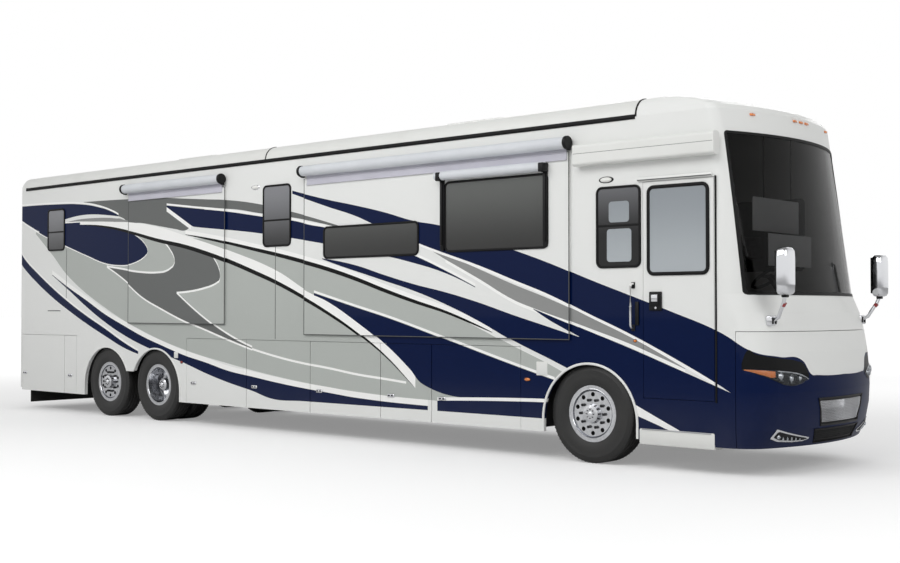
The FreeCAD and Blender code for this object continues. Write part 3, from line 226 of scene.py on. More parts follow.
def between(tree, along, first, last):
    """One from the first place to the last."""
    return add(tree, "ShaderNodeMath", {0: along, 1: (first + last) / 2, 2: (last - first) / 2},
               operation="COMPARE").outputs[0]


def lay_on(tree, under, mask, hexcode):
    """A colour laid over what is under it, where the mask is one."""
    mix = add(tree, "ShaderNodeMix", data_type="RGBA")
    tree.links.new(mask, mix.inputs["Factor"])
    tree.links.new(under, mix.inputs[6])
    mix.inputs[7].default_value = colour(hexcode)
    return mix.outputs[2]


def sweep(tree, under, along, height, hexcode, top, bottom):
    """A filled sweep between a top and a bottom edge."""
    first = max(top[0][0], bottom[0][0])
    last = min(top[-1][0], bottom[-1][0])
    below = add(tree, "ShaderNodeMath", {0: height, 1: edge(tree, along, top)}, operation="LESS_THAN")
    above = add(tree, "ShaderNodeMath", {0: height, 1: edge(tree, along, bottom)},
                operation="GREATER_THAN")
    mask = mask_and(tree, below.outputs[0], above.outputs[0], between(tree, along, first, last))
    return lay_on(tree, under, mask, hexcode)


def pinstripe(tree, under, along, height, hexcode, points, width):
    """A line of one width along an edge."""
    near = add(tree, "ShaderNodeMath", {0: height, 1: edge(tree, along, points),
                                        2: width / 2 / PAINT_HEIGHT}, operation="COMPARE")
    mask = mask_and(tree, near.outputs[0], between(tree, along, points[0][0], points[-1][0]))
    return lay_on(tree, under, mask, hexcode)


# %% [markdown]
# The sweeps follow in the order in which they are masked and sprayed. Each edge is a short
# list of (place from the front axle, height). An outline is the same edge again, as a
# pinstripe in white.

# %% The sweeps of the livery
WHITE, LIGHT_GREY, MID_GREY, DARK_GREY = "#E4E5E3", "#B0B4B0", "#8E8F8E", "#686A69"
NAVY, LINE_BLACK, LINE_WHITE = "#00123A", "#0B0C0D", "#F4F4F2"

FIELD_TOP = ((-11.0, 2.88), (-10.5, 2.95), (-9.7, 2.95), (-9.0, 2.9), (-8.3, 2.79), (-7.6, 2.66),
             (-6.95, 2.64), (-6.0, 2.54), (-5.0, 2.36), (-4.0, 2.15), (-3.0, 1.87), (-2.0, 1.6),
             (-1.5, 1.41), (-1.0, 1.21), (-0.5, 1.02), (-0.3, 0.93))
FIELD_BOTTOM = ((-11.0, 2.85), (-10.5, 2.5), (-10.0, 2.13), (-9.0, 1.65), (-8.0, 1.3), (-7.0, 1.05),
                (-6.0, 0.88), (-5.0, 0.74), (-4.0, 0.64), (-3.0, 0.58), (-2.4, 0.56), (-0.85, 0.62),
                (-0.3, 0.90))
HOOK_TOP = ((-8.95, 2.27), (-8.8, 2.7), (-8.3, 2.79), (-7.6, 2.65), (-7.0, 2.55), (-6.5, 2.44),
            (-6.36, 2.38), (-6.26, 2.29), (-6.19, 2.19), (-6.165, 2.12), (-6.16, 2.07))
HOOK_BOTTOM = ((-8.95, 2.27), (-8.5, 2.07), (-8.0, 1.9), (-7.5, 1.87), (-7.15, 1.86), (-6.8, 1.88),
               (-6.5, 1.92), (-6.33, 1.955), (-6.22, 1.995), (-6.17, 2.03), (-6.16, 2.07))
TAIL_TOP = ((-8.6, 2.12), (-7.6, 2.0), (-7.15, 1.86), (-6.5, 1.5), (-6.0, 1.28), (-5.5, 1.12))
TAIL_BOTTOM = ((-8.95, 2.27), (-8.5, 2.07), (-8.0, 1.8), (-7.5, 1.62), (-7.0, 1.46), (-6.5, 1.33),
               (-6.0, 1.2), (-5.5, 1.08))
CRESCENT_TOP = ((-8.95, 2.29), (-8.9, 2.8), (-8.1, 2.78), (-7.6, 2.66), (-7.42, 2.57),
                (-7.3, 2.47), (-7.225, 2.38), (-7.205, 2.335), (-7.2, 2.305))
CRESCENT_BOTTOM = ((-9.3, 2.32), (-8.95, 2.28), (-8.6, 2.24), (-8.1, 2.18), (-7.6, 2.16),
                   (-7.42, 2.175), (-7.3, 2.215), (-7.225, 2.26), (-7.2, 2.305))
SHOULDER_TOP = ((-12.9, 3.33), (-11.64, 3.33), (-10.5, 3.31), (-9.7, 3.27), (-9.2, 3.2),
                (-8.75, 3.08), (-8.65, 3.04))
SHOULDER_BOTTOM = ((-12.9, 3.3), (-11.64, 3.14), (-11.2, 2.98), (-10.7, 2.88), (-10.15, 3.05),
                   (-8.65, 3.03))
LOBE_TOP = ((-10.9, 2.99), (-10.15, 2.99), (-9.6, 2.98), (-9.0, 2.93), (-8.6, 2.855), (-8.3, 2.765),
            (-8.1, 2.685), (-7.97, 2.61), (-7.89, 2.54), (-7.865, 2.5), (-7.86, 2.475))
LOBE_BOTTOM = ((-10.9, 2.87), (-10.7, 2.80), (-10.1, 2.63), (-9.5, 2.46), (-9.0, 2.33), (-8.6, 2.29),
                (-8.35, 2.295), (-8.15, 2.33), (-8.0, 2.375), (-7.91, 2.42), (-7.87, 2.45),
                (-7.86, 2.475))
LONG_LINE = ((-9.7, 2.95), (-9.0, 2.9), (-8.3, 2.79), (-7.6, 2.65), (-7.0, 2.55), (-6.5, 2.44),
             (-6.0, 2.31), (-5.5, 2.16), (-5.0, 2.0), (-4.5, 1.81), (-4.0, 1.6), (-3.5, 1.36),
             (-3.0, 1.07), (-2.6, 0.77), (-2.5, 0.69))
LONG_BAND_TOP = ((-9.7, 3.0), (-9.0, 2.96), (-8.3, 2.92), (-7.5, 2.8), (-7.0, 2.68), (-6.0, 2.43),
                 (-5.0, 2.13), (-4.4, 1.86), (-4.0, 1.72), (-3.5, 1.48), (-3.0, 1.2), (-2.6, 0.92),
                 (-2.38, 0.74), (-2.3, 0.66))
SHORT_LINE = ((-6.95, 2.68), (-6.5, 2.62), (-6.0, 2.54), (-5.5, 2.45), (-5.0, 2.36), (-4.5, 2.26),
              (-4.0, 2.15), (-3.5, 2.02), (-3.0, 1.87), (-2.5, 1.73), (-2.0, 1.6), (-1.6, 1.47),
              (-1.3, 1.36))
BLADE_TOP = ((-4.25, 1.83), (-3.5, 1.65), (-2.9, 1.51), (-2.0, 1.27), (-1.0, 1.0), (-0.45, 0.86))
BLADE_BOTTOM = ((-4.25, 1.8), (-4.0, 1.72), (-3.5, 1.48), (-3.0, 1.2), (-2.6, 0.92), (-2.38, 0.74),
                (-0.85, 0.63), (-0.45, 0.62))
FOOT_TOP = ((-2.15, 0.56), (-0.87, 0.61), (-0.3, 0.62))
FOOT_BOTTOM = ((-2.25, 0.44), (-0.3, 0.44))
MIDDLE_TOP = ((-4.1, 2.27), (-3.5, 2.17), (-3.0, 2.04), (-2.5, 1.92), (-2.0, 1.82), (-1.5, 1.7),
              (-1.0, 1.56), (-0.5, 1.43), (-0.12, 1.328))
MIDDLE_BOTTOM = ((-4.1, 2.26), (-4.0, 2.23), (-3.0, 1.97), (-2.5, 1.84), (-2.0, 1.68), (-1.5, 1.49),
                 (-1.0, 1.27), (-0.5, 1.08), (-0.12, 0.93))
FRONT_TOP = ((-4.7, 3.17), (-4.0, 3.01), (-3.5, 2.91), (-3.0, 2.8), (-2.5, 2.67), (-2.1, 2.6),
             (-1.0, 2.28), (-0.5, 2.12), (0.0, 1.94), (0.5, 1.77), (1.0, 1.6), (1.5, 1.42),
             (1.68, 1.33))
FRONT_BOTTOM = ((-4.7, 3.13), (-4.0, 2.92), (-3.5, 2.78), (-3.2, 2.67), (-2.42, 2.4), (-2.0, 2.27),
                (-1.5, 2.12), (-1.0, 1.95), (-0.5, 1.78), (0.0, 1.575), (0.5, 1.375), (1.0, 1.15),
                (1.5, 0.905), (1.64, 0.828), (1.68, 0.806))
NOSE_TOP = ((1.66, 1.34), (1.9, 1.223), (2.3, 1.165), (2.7, 1.12), (2.84, 0.99), (2.95, 0.978),
            (3.7, 0.978))
NOSE_BOTTOM = ((1.66, 0.0), (3.7, 0.0))
WEDGE_TOP = ((-2.2, 2.33), (-1.5, 2.08), (-1.0, 1.9), (-0.5, 1.735), (0.0, 1.548), (0.5, 1.347),
             (0.8, 1.21), (1.16, 1.035))
WEDGE_BOTTOM = ((-2.2, 2.3), (-2.0, 2.2), (-1.5, 1.97), (-1.0, 1.73), (-0.7, 1.63), (-0.25, 1.5),
                (0.0, 1.425), (0.5, 1.272), (0.8, 1.165), (1.16, 1.03))
EYEBROW_TOP = ((1.78, 1.10), (1.85, 1.225), (1.95, 1.195), (2.3, 1.153), (2.6, 1.12), (2.72, 1.085),
               (2.8, 0.985))
EYEBROW_BOTTOM = ((1.78, 1.04), (1.85, 1.035), (2.22, 1.03), (2.59, 1.0), (2.8, 0.95))
SPLINTER_TOP = ((-0.72, 1.63), (-0.5, 1.555), (0.0, 1.39))
SPLINTER_BOTTOM = ((-0.72, 1.625), (-0.5, 1.505), (-0.3, 1.415), (-0.12, 1.332), (0.0, 1.3))
DOOR_TOP = ((-0.13, 1.435), (0.0, 1.392), (0.5, 1.228), (1.0, 1.052), (1.5, 0.874), (1.64, 0.824),
            (1.68, 0.81))
DOOR_BOTTOM = ((-0.13, 0.0), (1.68, 0.0))
MARKER_TOP = ((0.57, 0.65), (0.74, 0.573), (0.91, 0.497), (1.09, 0.418))
MARKER_BOTTOM = ((0.57, 0.545), (0.70, 0.503), (0.84, 0.457), (0.97, 0.415), (1.09, 0.413))
UPPER_TOP = ((-7.4, 3.12), (-6.8, 3.05), (-6.0, 2.96), (-5.3, 2.86), (-4.7, 2.78), (-4.3, 2.7),
             (-4.05, 2.66), (-3.2, 2.47), (-2.5, 2.26), (-2.0, 2.07), (-1.55, 1.88))
UPPER_BOTTOM = ((-7.4, 3.1), (-7.25, 3.025), (-7.1, 2.95), (-6.95, 2.875), (-6.82, 2.81),
                (-6.77, 2.79), (-6.72, 2.783), (-6.3, 2.74), (-5.7, 2.68), (-5.2, 2.62), (-4.7, 2.55),
                (-4.1, 2.46), (-3.2, 2.31), (-2.5, 2.17), (-2.0, 2.04), (-1.55, 1.87))
ROOF_GREY_TOP = ((-9.6, 3.3), (-8.6, 3.28), (-7.5, 3.24), (-7.0, 3.2), (-6.5, 3.16), (-6.0, 3.12),
                 (-5.3, 3.02), (-4.73, 2.9), (-4.3, 2.8), (-3.75, 2.66))
ROOF_GREY_BOTTOM = ((-9.6, 3.29), (-9.2, 3.21), (-8.75, 3.06), (-8.5, 2.985), (-8.4, 2.935),
                    (-8.0, 2.895), (-7.6, 2.835), (-7.2, 2.775), (-6.95, 2.745), (-6.85, 2.79),
                    (-6.75, 2.95), (-6.6, 3.01), (-6.0, 3.0), (-5.3, 2.9), (-4.7, 2.82),
                    (-3.75, 2.64))
SLIVER_TOP = ((-10.15, 2.995), (-9.8, 3.03), (-9.3, 3.035), (-8.8, 3.01), (-8.4, 2.955))
SLIVER_BOTTOM = ((-10.15, 2.985), (-9.8, 2.99), (-9.3, 2.98), (-8.8, 2.955), (-8.4, 2.93))
LOW_SWEEP_TOP = ((-12.9, 3.1), (-12.2, 3.0), (-11.64, 2.7), (-11.3, 2.42), (-11.0, 2.24),
                 (-10.5, 1.97), (-10.0, 1.73), (-9.5, 1.52), (-9.0, 1.33), (-8.5, 1.13), (-8.12, 1.0))
LOW_SWEEP_BOTTOM = ((-12.9, 2.95), (-12.2, 2.83), (-11.64, 2.51), (-11.3, 2.26), (-11.0, 2.08),
                    (-10.5, 1.82), (-10.0, 1.6), (-9.5, 1.4), (-9.0, 1.22), (-8.5, 1.05),
                    (-8.12, 0.96))
BELT_TOP = ((-10.5, 2.18), (-10.0, 1.96), (-9.5, 1.76), (-9.0, 1.55), (-8.5, 1.38), (-8.0, 1.22),
            (-7.5, 1.09), (-7.0, 0.97), (-6.5, 0.88), (-6.0, 0.78), (-5.5, 0.72), (-5.0, 0.66),
            (-4.5, 0.61), (-4.0, 0.57), (-3.5, 0.53), (-2.3, 0.49))
BELT_BOTTOM = ((-10.5, 2.17), (-10.0, 1.92), (-9.5, 1.66), (-9.0, 1.43), (-8.5, 1.24), (-8.0, 1.09),
               (-7.3, 0.93), (-7.0, 0.86), (-6.5, 0.73), (-6.0, 0.62), (-5.5, 0.53), (-5.07, 0.44),
               (-4.5, 0.44), (-2.3, 0.44))
FIELD_LINE = ((-5.7, 1.13), (-5.0, 1.0), (-4.5, 0.93), (-4.0, 0.88), (-3.5, 0.82), (-3.0, 0.78),
              (-2.65, 0.75))


def raised(points, rise):
    """The same edge, a little higher or lower."""
    return tuple((place, height + rise) for place, height in points)


def dying_out(points, depth):
    """The lower edge of a line that is deep along its middle and thins out at both ends."""
    first, last = points[0][0], points[-1][0]
    return tuple((place, height - depth * math.sin(math.pi * (place - first) / (last - first)) ** 0.6)
                 for place, height in points)


LIVERY = (                        # in the order of spraying: colour, top, bottom or line width
    (LIGHT_GREY, FIELD_TOP, FIELD_BOTTOM),
    (LINE_WHITE, FIELD_LINE, 0.028),
    (DARK_GREY, HOOK_TOP, HOOK_BOTTOM),
    (DARK_GREY, TAIL_TOP, TAIL_BOTTOM),
    (LINE_WHITE, HOOK_BOTTOM[4:], 0.028),
    (LINE_WHITE, HOOK_TOP[5:], 0.026),
    (LINE_WHITE, TAIL_TOP[2:], 0.028),
    (LINE_WHITE, TAIL_BOTTOM, 0.026),
    (LIGHT_GREY, CRESCENT_TOP, CRESCENT_BOTTOM),
    (LINE_WHITE, CRESCENT_BOTTOM[1:], 0.028),
    (LINE_WHITE, CRESCENT_TOP[2:], 0.028),
    (DARK_GREY, ROOF_GREY_TOP, ROOF_GREY_BOTTOM),
    (MID_GREY, SLIVER_TOP, SLIVER_BOTTOM),
    (LINE_WHITE, raised(SHOULDER_TOP, 0.02), 0.028),
    (NAVY, SHOULDER_TOP, SHOULDER_BOTTOM),
    (LINE_WHITE, SHOULDER_BOTTOM[:3] + LOBE_BOTTOM[1:], 0.030),
    (LINE_WHITE, LOBE_TOP[1:], 0.030),
    (NAVY, LOBE_TOP, LOBE_BOTTOM),
    (LINE_WHITE, LONG_BAND_TOP, LONG_LINE),
    (LINE_BLACK, LONG_LINE, dying_out(LONG_LINE, 0.060)),
    (LINE_WHITE, raised(SHORT_LINE, 0.028), 0.07),
    (LINE_BLACK, raised(SHORT_LINE, 0.008), dying_out(SHORT_LINE, 0.046)),
    (LINE_WHITE, raised(BLADE_TOP, 0.02), 0.030),
    (NAVY, BLADE_TOP, BLADE_BOTTOM),
    (LINE_WHITE, raised(FOOT_TOP, 0.015), 0.045),
    (NAVY, FOOT_TOP, FOOT_BOTTOM),
    (LINE_WHITE, raised(UPPER_TOP, 0.02), 0.028),
    (LINE_WHITE, raised(UPPER_BOTTOM[:5], -0.03), 0.066),
    (NAVY, UPPER_TOP, UPPER_BOTTOM),
    (NAVY, MIDDLE_TOP, MIDDLE_BOTTOM),
    (NAVY, FRONT_TOP, FRONT_BOTTOM),
    (MID_GREY, WEDGE_TOP, WEDGE_BOTTOM),
    (LINE_WHITE, raised(FRONT_BOTTOM[4:-2], -0.016), 0.030),
    (LINE_WHITE, raised(WEDGE_BOTTOM[1:], -0.018), 0.034),
    (NAVY, SPLINTER_TOP, SPLINTER_BOTTOM),
    (NAVY, DOOR_TOP, DOOR_BOTTOM),
    (NAVY, NOSE_TOP, NOSE_BOTTOM),
    (LINE_BLACK, EYEBROW_TOP, EYEBROW_BOTTOM),
    (LINE_WHITE, MARKER_TOP, MARKER_BOTTOM),
    (LINE_WHITE, raised(LOW_SWEEP_TOP, 0.02), 0.030),
    (NAVY, LOW_SWEEP_TOP, LOW_SWEEP_BOTTOM),
    (LINE_WHITE, raised(BELT_TOP, 0.026), 0.09),
    (NAVY, BELT_TOP, BELT_BOTTOM),
)
print(len(LIVERY), "sweeps and lines")

# %% [markdown]
# Under the colour, every painted panel is the same material: a two-pack automotive paint
# under a glossy clear coat. The coat's faint orange peel is about 8 mm across. Road dust
# greys the lowest half metre a little.

# %% Automotive paint with the livery
def new_material(name):
    """An empty material and its node tree."""
    material = bpy.data.materials.new(name)
    material.use_nodes = True
    material.node_tree.nodes.clear()
    return material, material.node_tree


def shell(tree, inputs):
    """The Principled shader and the output it feeds."""
    bsdf = add(tree, "ShaderNodeBsdfPrincipled", inputs)
    add(tree, "ShaderNodeOutputMaterial", {"Surface": bsdf.outputs[0]})
    return bsdf


def grain(tree, size_mm, strength, detail=2.0):
    """A bump of the given grain size, for a shader's Normal."""
    place = add(tree, "ShaderNodeTexCoord")
    noise = add(tree, "ShaderNodeTexNoise", {"Vector": place.outputs["Object"],
                                             "Scale": 1000.0 / size_mm, "Detail": detail})
    bump = add(tree, "ShaderNodeBump", {"Strength": strength, "Distance": size_mm / 10000.0,
                                        "Height": noise.outputs["Fac"]})
    return bump.outputs["Normal"]


DUST_LOW, DUST_HIGH = 0.28, 0.80
DUST = "#A7A49C"

body_paint, tree = new_material("two-pack automotive paint under clear coat")
place = add(tree, "ShaderNodeTexCoord")
split = add(tree, "ShaderNodeSeparateXYZ", {0: place.outputs["Object"]})
from_axle = add(tree, "ShaderNodeMath", {0: split.outputs["X"], 1: AXLE_X}, operation="SUBTRACT")
from_axle = from_axle.outputs[0]
across = add(tree, "ShaderNodeMath", {0: split.outputs["Y"]}, operation="ABSOLUTE")
inward = add(tree, "ShaderNodeMath", {0: HALF_WIDTH, 1: across.outputs[0]}, operation="SUBTRACT")
inward = add(tree, "ShaderNodeMath", {0: inward.outputs[0], 1: 0.0}, operation="MAXIMUM")
ahead = add(tree, "ShaderNodeMath", {0: from_axle, 1: NOSE_STARTS}, operation="GREATER_THAN")
behind = add(tree, "ShaderNodeMath", {0: from_axle, 1: TAIL_STARTS}, operation="LESS_THAN")
turn = add(tree, "ShaderNodeMath", {0: ahead.outputs[0], 1: behind.outputs[0]}, operation="SUBTRACT")
along = add(tree, "ShaderNodeMath", {0: inward.outputs[0], 1: turn.outputs[0], 2: from_axle},
            operation="MULTIPLY_ADD").outputs[0]
height = add(tree, "ShaderNodeMath", {0: split.outputs["Z"], 1: PAINT_HEIGHT},
             operation="DIVIDE").outputs[0]

base = add(tree, "ShaderNodeRGB")
base.outputs[0].default_value = colour(WHITE)
paint = base.outputs[0]
for hexcode, top, bottom in LIVERY:
    if isinstance(bottom, float):
        paint = pinstripe(tree, paint, along, height, hexcode, top, bottom)
    else:
        paint = sweep(tree, paint, along, height, hexcode, top, bottom)

cloud = add(tree, "ShaderNodeTexNoise", {"Vector": place.outputs["Object"], "Scale": 2.3,
                                         "Detail": 5.0})
low = add(tree, "ShaderNodeMapRange", {"Value": split.outputs["Z"], "From Min": DUST_LOW,
                                       "From Max": DUST_HIGH, "To Min": 0.07, "To Max": 0.0})
dusty = add(tree, "ShaderNodeMath", {0: low.outputs["Result"], 1: cloud.outputs["Fac"]},
            operation="MULTIPLY").outputs[0]
paint = lay_on(tree, paint, dusty, DUST)
shell(tree, {"Base Color": paint, "Roughness": 0.42, "Specular IOR Level": 0.06, "Coat Weight": 0.14,
             "Coat Roughness": 0.03, "Normal": grain(tree, 8.0, 0.05)})
print("paint shader has", len(tree.nodes), "nodes")


def finish_nodes(slot, material):
    """Every CAD node whose record slot has this name takes the material."""
    names = [part["node"] for part in frame["record"]["subparts"] if part["material_slot"] == slot]
    for name in names:
        mesh = nodes[name].data
        mesh.materials.clear()
        mesh.materials.append(material)
    return names


print("painted:", len(finish_nodes("body_paint", body_paint)), "panels")

# %% [markdown]
# The other finishes start from the real materials. Rubber is dark and matt with a fine mould
# grain, forged alloy is turned to a bright polish, tinted glass is nearly black with a clean
# gloss, and the roof is moulded gelcoat, a little duller than paint.

# %% Finishes for the CAD pieces
def plain(name, hexcode, roughness, grain_mm, strength, **more):
    """A finish of one colour that a cloudy noise varies, with its own grain."""
    material, tree = new_material(name)
    place = add(tree, "ShaderNodeTexCoord")
    cloud = add(tree, "ShaderNodeTexNoise", {"Vector": place.outputs["Object"],
                                             "Scale": more.pop("cloud_scale", 3.0), "Detail": 6.0})
    deeper = more.pop("deeper", 0.25)
    change = add(tree, "ShaderNodeMapRange", {"Value": cloud.outputs["Fac"], "From Min": 0.35,
                                              "From Max": 0.7, "To Max": deeper})
    mix = add(tree, "ShaderNodeMix", data_type="RGBA")
    tree.links.new(change.outputs["Result"], mix.inputs["Factor"])
    mix.inputs[6].default_value = colour(hexcode)
    mix.inputs[7].default_value = colour(more.pop("second", "#000000"))
    rough = add(tree, "ShaderNodeMapRange", {"Value": cloud.outputs["Fac"], "From Min": 0.3,
                                             "From Max": 0.7, "To Min": roughness,
                                             "To Max": min(1.0, roughness + 0.08)})
    inputs = {"Base Color": mix.outputs[2], "Roughness": rough.outputs["Result"],
              "Normal": grain(tree, grain_mm, strength)}
    inputs.update({key.replace("_", " "): value for key, value in more.items()})
    shell(tree, inputs)
    return material


gelcoat = plain("white polyester gelcoat, moulded", "#DFE0DD", 0.32, 12.0, 0.05, deeper=0.10,
                second="#B9B7AF")
chassis_steel = plain("steel under matt black chassis paint", "#141415", 0.6, 5.0, 0.3,
                      second="#2C2824")
engine_paint = plain("cast iron under grey enamel", "#3A3C3E", 0.5, 6.0, 0.3, second="#1C1B1A")
floor_board = plain("sealed birch board", "#6E675C", 0.55, 20.0, 0.1, second="#3F3A32")
tyre_rubber = plain("tyre rubber, moulded", "#191919", 0.5, 3.0, 0.35, deeper=0.35,
                    second="#2E2D2B")
seal_rubber = plain("black sealing rubber, extruded", "#060607", 0.5, 2.0, 0.1, second="#141414",
                     Specular_IOR_Level=0.2)
black_moulding = plain("black ABS, moulded with a fine grain", "#08080A", 0.42, 1.5, 0.15,
                       second="#161617", Specular_IOR_Level=0.25)
awning_fabric = plain("silver awning cloth and lilac anodised case", "#B9B9C6", 0.42, 4.0, 0.12,
                      deeper=0.3, second="#9292A2")
dash_moulding = plain("dashboard moulding, leather grain", "#232325", 0.55, 3.0, 0.5,
                      second="#131314")
cream_leather = plain("cream upholstery leather", "#8F8271", 0.48, 2.5, 0.5, deeper=0.3,
                      second="#6A5D4D")
alloy = plain("forged alloy wheel, polished", "#D2D3D6", 0.16, 2.0, 0.05, Metallic=1.0,
              deeper=0.35, second="#9A9CA0", cloud_scale=30.0)
chrome = plain("chrome plate on a moulding", "#DCDDE0", 0.06, 30.0, 0.02, Metallic=1.0,
               deeper=0.1, second="#A8AAAE")
satin_metal = plain("satin aluminium, brushed", "#B6B7BA", 0.30, 2.0, 0.1, Metallic=1.0,
                    second="#85868A")
dark_nut = plain("blackened steel nut", "#2A2A2C", 0.35, 2.0, 0.1, Metallic=0.8,
                 second="#0E0E0F")
lamp_glass = plain("clear polycarbonate lens", "#C9CED3", 0.08, 30.0, 0.03, second="#8D959C",
                   Coat_Weight=1.0)
red_lens = plain("red acrylic lens", "#8E0C0C", 0.10, 3.0, 0.15, second="#4E0505",
                 Coat_Weight=1.0)
amber_lens = plain("amber acrylic lens", "#D9761C", 0.12, 3.0, 0.15, second="#A34A0A",
                   Coat_Weight=1.0)
porch_lens = plain("frosted acrylic lens", "#E8E8E4", 0.25, 3.0, 0.05, deeper=0.1,
                   second="#C9C9C2")

# %% [markdown]
# Side glass is tinted until it reads as black, and a painted reflection of the sky makes it
# lighter towards the top. The windshield is darker than the door's pane, which has a pale blind
# behind it.

# %% Glass
def tinted(name, low_colour, high_colour, low_z, high_z, roughness=0.04):
    """Opaque tinted glass whose tone shifts with height; where the top is lighter, that is a painted sky
    reflection.
    """
    material, tree = new_material(name)
    place = add(tree, "ShaderNodeTexCoord")
    split = add(tree, "ShaderNodeSeparateXYZ", {0: place.outputs["Object"]})
    share = add(tree, "ShaderNodeMapRange", {"Value": split.outputs["Z"], "From Min": low_z,
                                             "From Max": high_z}, interpolation_type="SMOOTHSTEP")
    mix = add(tree, "ShaderNodeMix", data_type="RGBA")
    tree.links.new(share.outputs["Result"], mix.inputs["Factor"])
    mix.inputs[6].default_value = colour(low_colour)
    mix.inputs[7].default_value = colour(high_colour)
    shell(tree, {"Base Color": mix.outputs[2], "Roughness": roughness, "Coat Weight": 0.2,
                 "Specular IOR Level": 0.3, "Coat Roughness": 0.02, "Normal": grain(tree, 400.0, 0.02)})
    return material


# Painted sky reflection: the side and slide-out glass grow lighter towards the top.
side_glass = tinted("grey privacy glass, float", "#050505", "#7E7F83", 2.35, 3.3)
slide_glass = tinted("grey privacy glass on the slide-outs", "#242423", "#5A5C5A", 2.25, 3.1)
screen_glass, tree = new_material("laminated windshield glass, tinted")
shell(tree, {"Base Color": colour("#010101"), "Roughness": 0.03, "Alpha": 0.50,
             "Specular IOR Level": 0.12, "Coat Weight": 0.03, "Normal": grain(tree, 500.0, 0.02)})
blind_glass = tinted("glass with a pale blind behind it", "#A9AFB3", "#8D9398", 2.0, 2.85, 0.12)

SLOT_FINISHES = {
    "roof_white": gelcoat, "frame_steel": chassis_steel, "engine_enamel": engine_paint,
    "floor_board": floor_board, "lamp_red": red_lens, "lamp_clear": lamp_glass,
    "dark_glass": side_glass, "screen_glass": screen_glass, "awning_case": awning_fabric,
    "dash_plastic": dash_moulding, "seat_leather": cream_leather, "chrome_trim": chrome,
    "grille_mesh": satin_metal, "tyre_rubber": tyre_rubber, "wheel_alloy": alloy,
}
for slot_name, material in SLOT_FINISHES.items():
    finish_nodes(slot_name, material)
for name in ("slide_front_right_windows", "slide_left_windows"):
    nodes[name].data.materials[0] = slide_glass
nodes["entry_door_window"].data.materials[0] = blind_glass
nodes["door_awning"].data.materials[0] = gelcoat
print(len(SLOT_FINISHES) + 1, "slots have their finish")

# %% [markdown]
# Small pieces are drawn by four helpers: a block with rounded edges, a tube along a path, a
# body turned about an axle, and a frame whose section is swept round a window. Each piece ends
# as one mesh at the origin, with its normals turned outward, on the body that carries it.

# %% Helpers for mesh pieces
def at(along, across, up):
    """A point from its place ahead of the front axle, distance from the middle and height."""
    return Vector((AXLE_X + along, across, up))


def piece(name, mesh, finish, body, shade=35.0, stands_for=()):
    """Finish a bmesh as one piece on a body; shade is the sharpest angle that looks smooth."""
    bmesh.ops.remove_doubles(mesh, verts=mesh.verts, dist=1e-6)
    bmesh.ops.recalc_face_normals(mesh, faces=mesh.faces)
    data = bpy.data.meshes.new(name)
    mesh.to_mesh(data)
    mesh.free()
    return seat(name, data, finish, body, shade, stands_for)


def seat(name, data, finish, body, shade=35.0, stands_for=()):
    """Link a mesh, shade it, give it its finish and let it ride."""
    item = bpy.data.objects.new(name, data)
    scene.collection.objects.link(item)
    if not data.materials:
        data.materials.append(finish)
    data.shade_smooth()
    data.set_sharp_from_angle(angle=math.radians(shade))
    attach(item, body)
    if stands_for:
        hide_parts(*stands_for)
    return item


def block(mesh, along, across, up, edge=0.004):
    """A block between limits, its edges rounded by a two-step bevel."""
    low, high = at(along[0], across[0], up[0]), at(along[1], across[1], up[1])
    made = bmesh.ops.create_cube(mesh, size=1.0)
    for vert in made["verts"]:
        vert.co = Vector([(low[i] + high[i]) / 2 + vert.co[i] * (high[i] - low[i]) for i in range(3)])
    if edge:
        edges = list({line for vert in made["verts"] for line in vert.link_edges})
        bmesh.ops.bevel(mesh, geom=edges, offset=edge, segments=2, affect="EDGES", profile=0.5)


def angles(count):
    """Even turns round a full circle."""
    return [math.tau * k / count for k in range(count)]


def span(side, near, far):
    """The limits across, low first, of something between two distances out on a side."""
    return sorted((side * near, side * far))


def capped(mesh, rings):
    """Rings joined in a row, with a face over each end."""
    join_rings(mesh, rings)
    mesh.faces.new(rings[0])
    mesh.faces.new(rings[-1])


def slabs(name, finish, body, shade, *limits):
    """A piece made only of blocks, each given as (along, across, up, edge)."""
    mesh = bmesh.new()
    for limit in limits:
        block(mesh, *limit)
    return piece(name, mesh, finish, body, shade)


def tube(mesh, points, radius, sides=12):
    """A closed tube through a few points."""
    rings = []
    for number, point in enumerate(points):
        before, after = points[max(number - 1, 0)], points[min(number + 1, len(points) - 1)]
        direction = (after - before).normalized()
        turn = direction.to_track_quat("Z", "Y")
        rings.append([mesh.verts.new(point + turn @ Vector((radius * math.cos(a), radius * math.sin(a), 0)))
                      for a in angles(sides)])
    capped(mesh, rings)


def join_rings(mesh, rings, closed=False):
    """Quads between one ring of points and the next."""
    pairs = list(zip(rings, rings[1:]))
    if closed:
        pairs.append((rings[-1], rings[0]))
    for one, two in pairs:
        count = len(one)
        for k in range(count):
            after = (k + 1) % count
            mesh.faces.new((one[k], one[after], two[after], two[k]))


def turned(mesh, centre, section, sides=96, closed=True):
    """A body turned about a line along Y; the section holds (across, radius)."""
    rings = []
    for across, radius in section:
        if radius < 1e-6:
            rings.append([mesh.verts.new(centre + Vector((0, across, 0)))] * sides)
            continue
        rings.append([mesh.verts.new(centre + Vector((radius * math.sin(a), across, radius * math.cos(a))))
                      for a in angles(sides)])
    pairs = list(zip(rings, rings[1:]))
    if closed:
        pairs.append((rings[-1], rings[0]))
    for one, two in pairs:
        for k in range(sides):
            after = (k + 1) % sides
            corners = list(dict.fromkeys((one[k], one[after], two[after], two[k])))
            if len(corners) > 2:
                mesh.faces.new(corners)


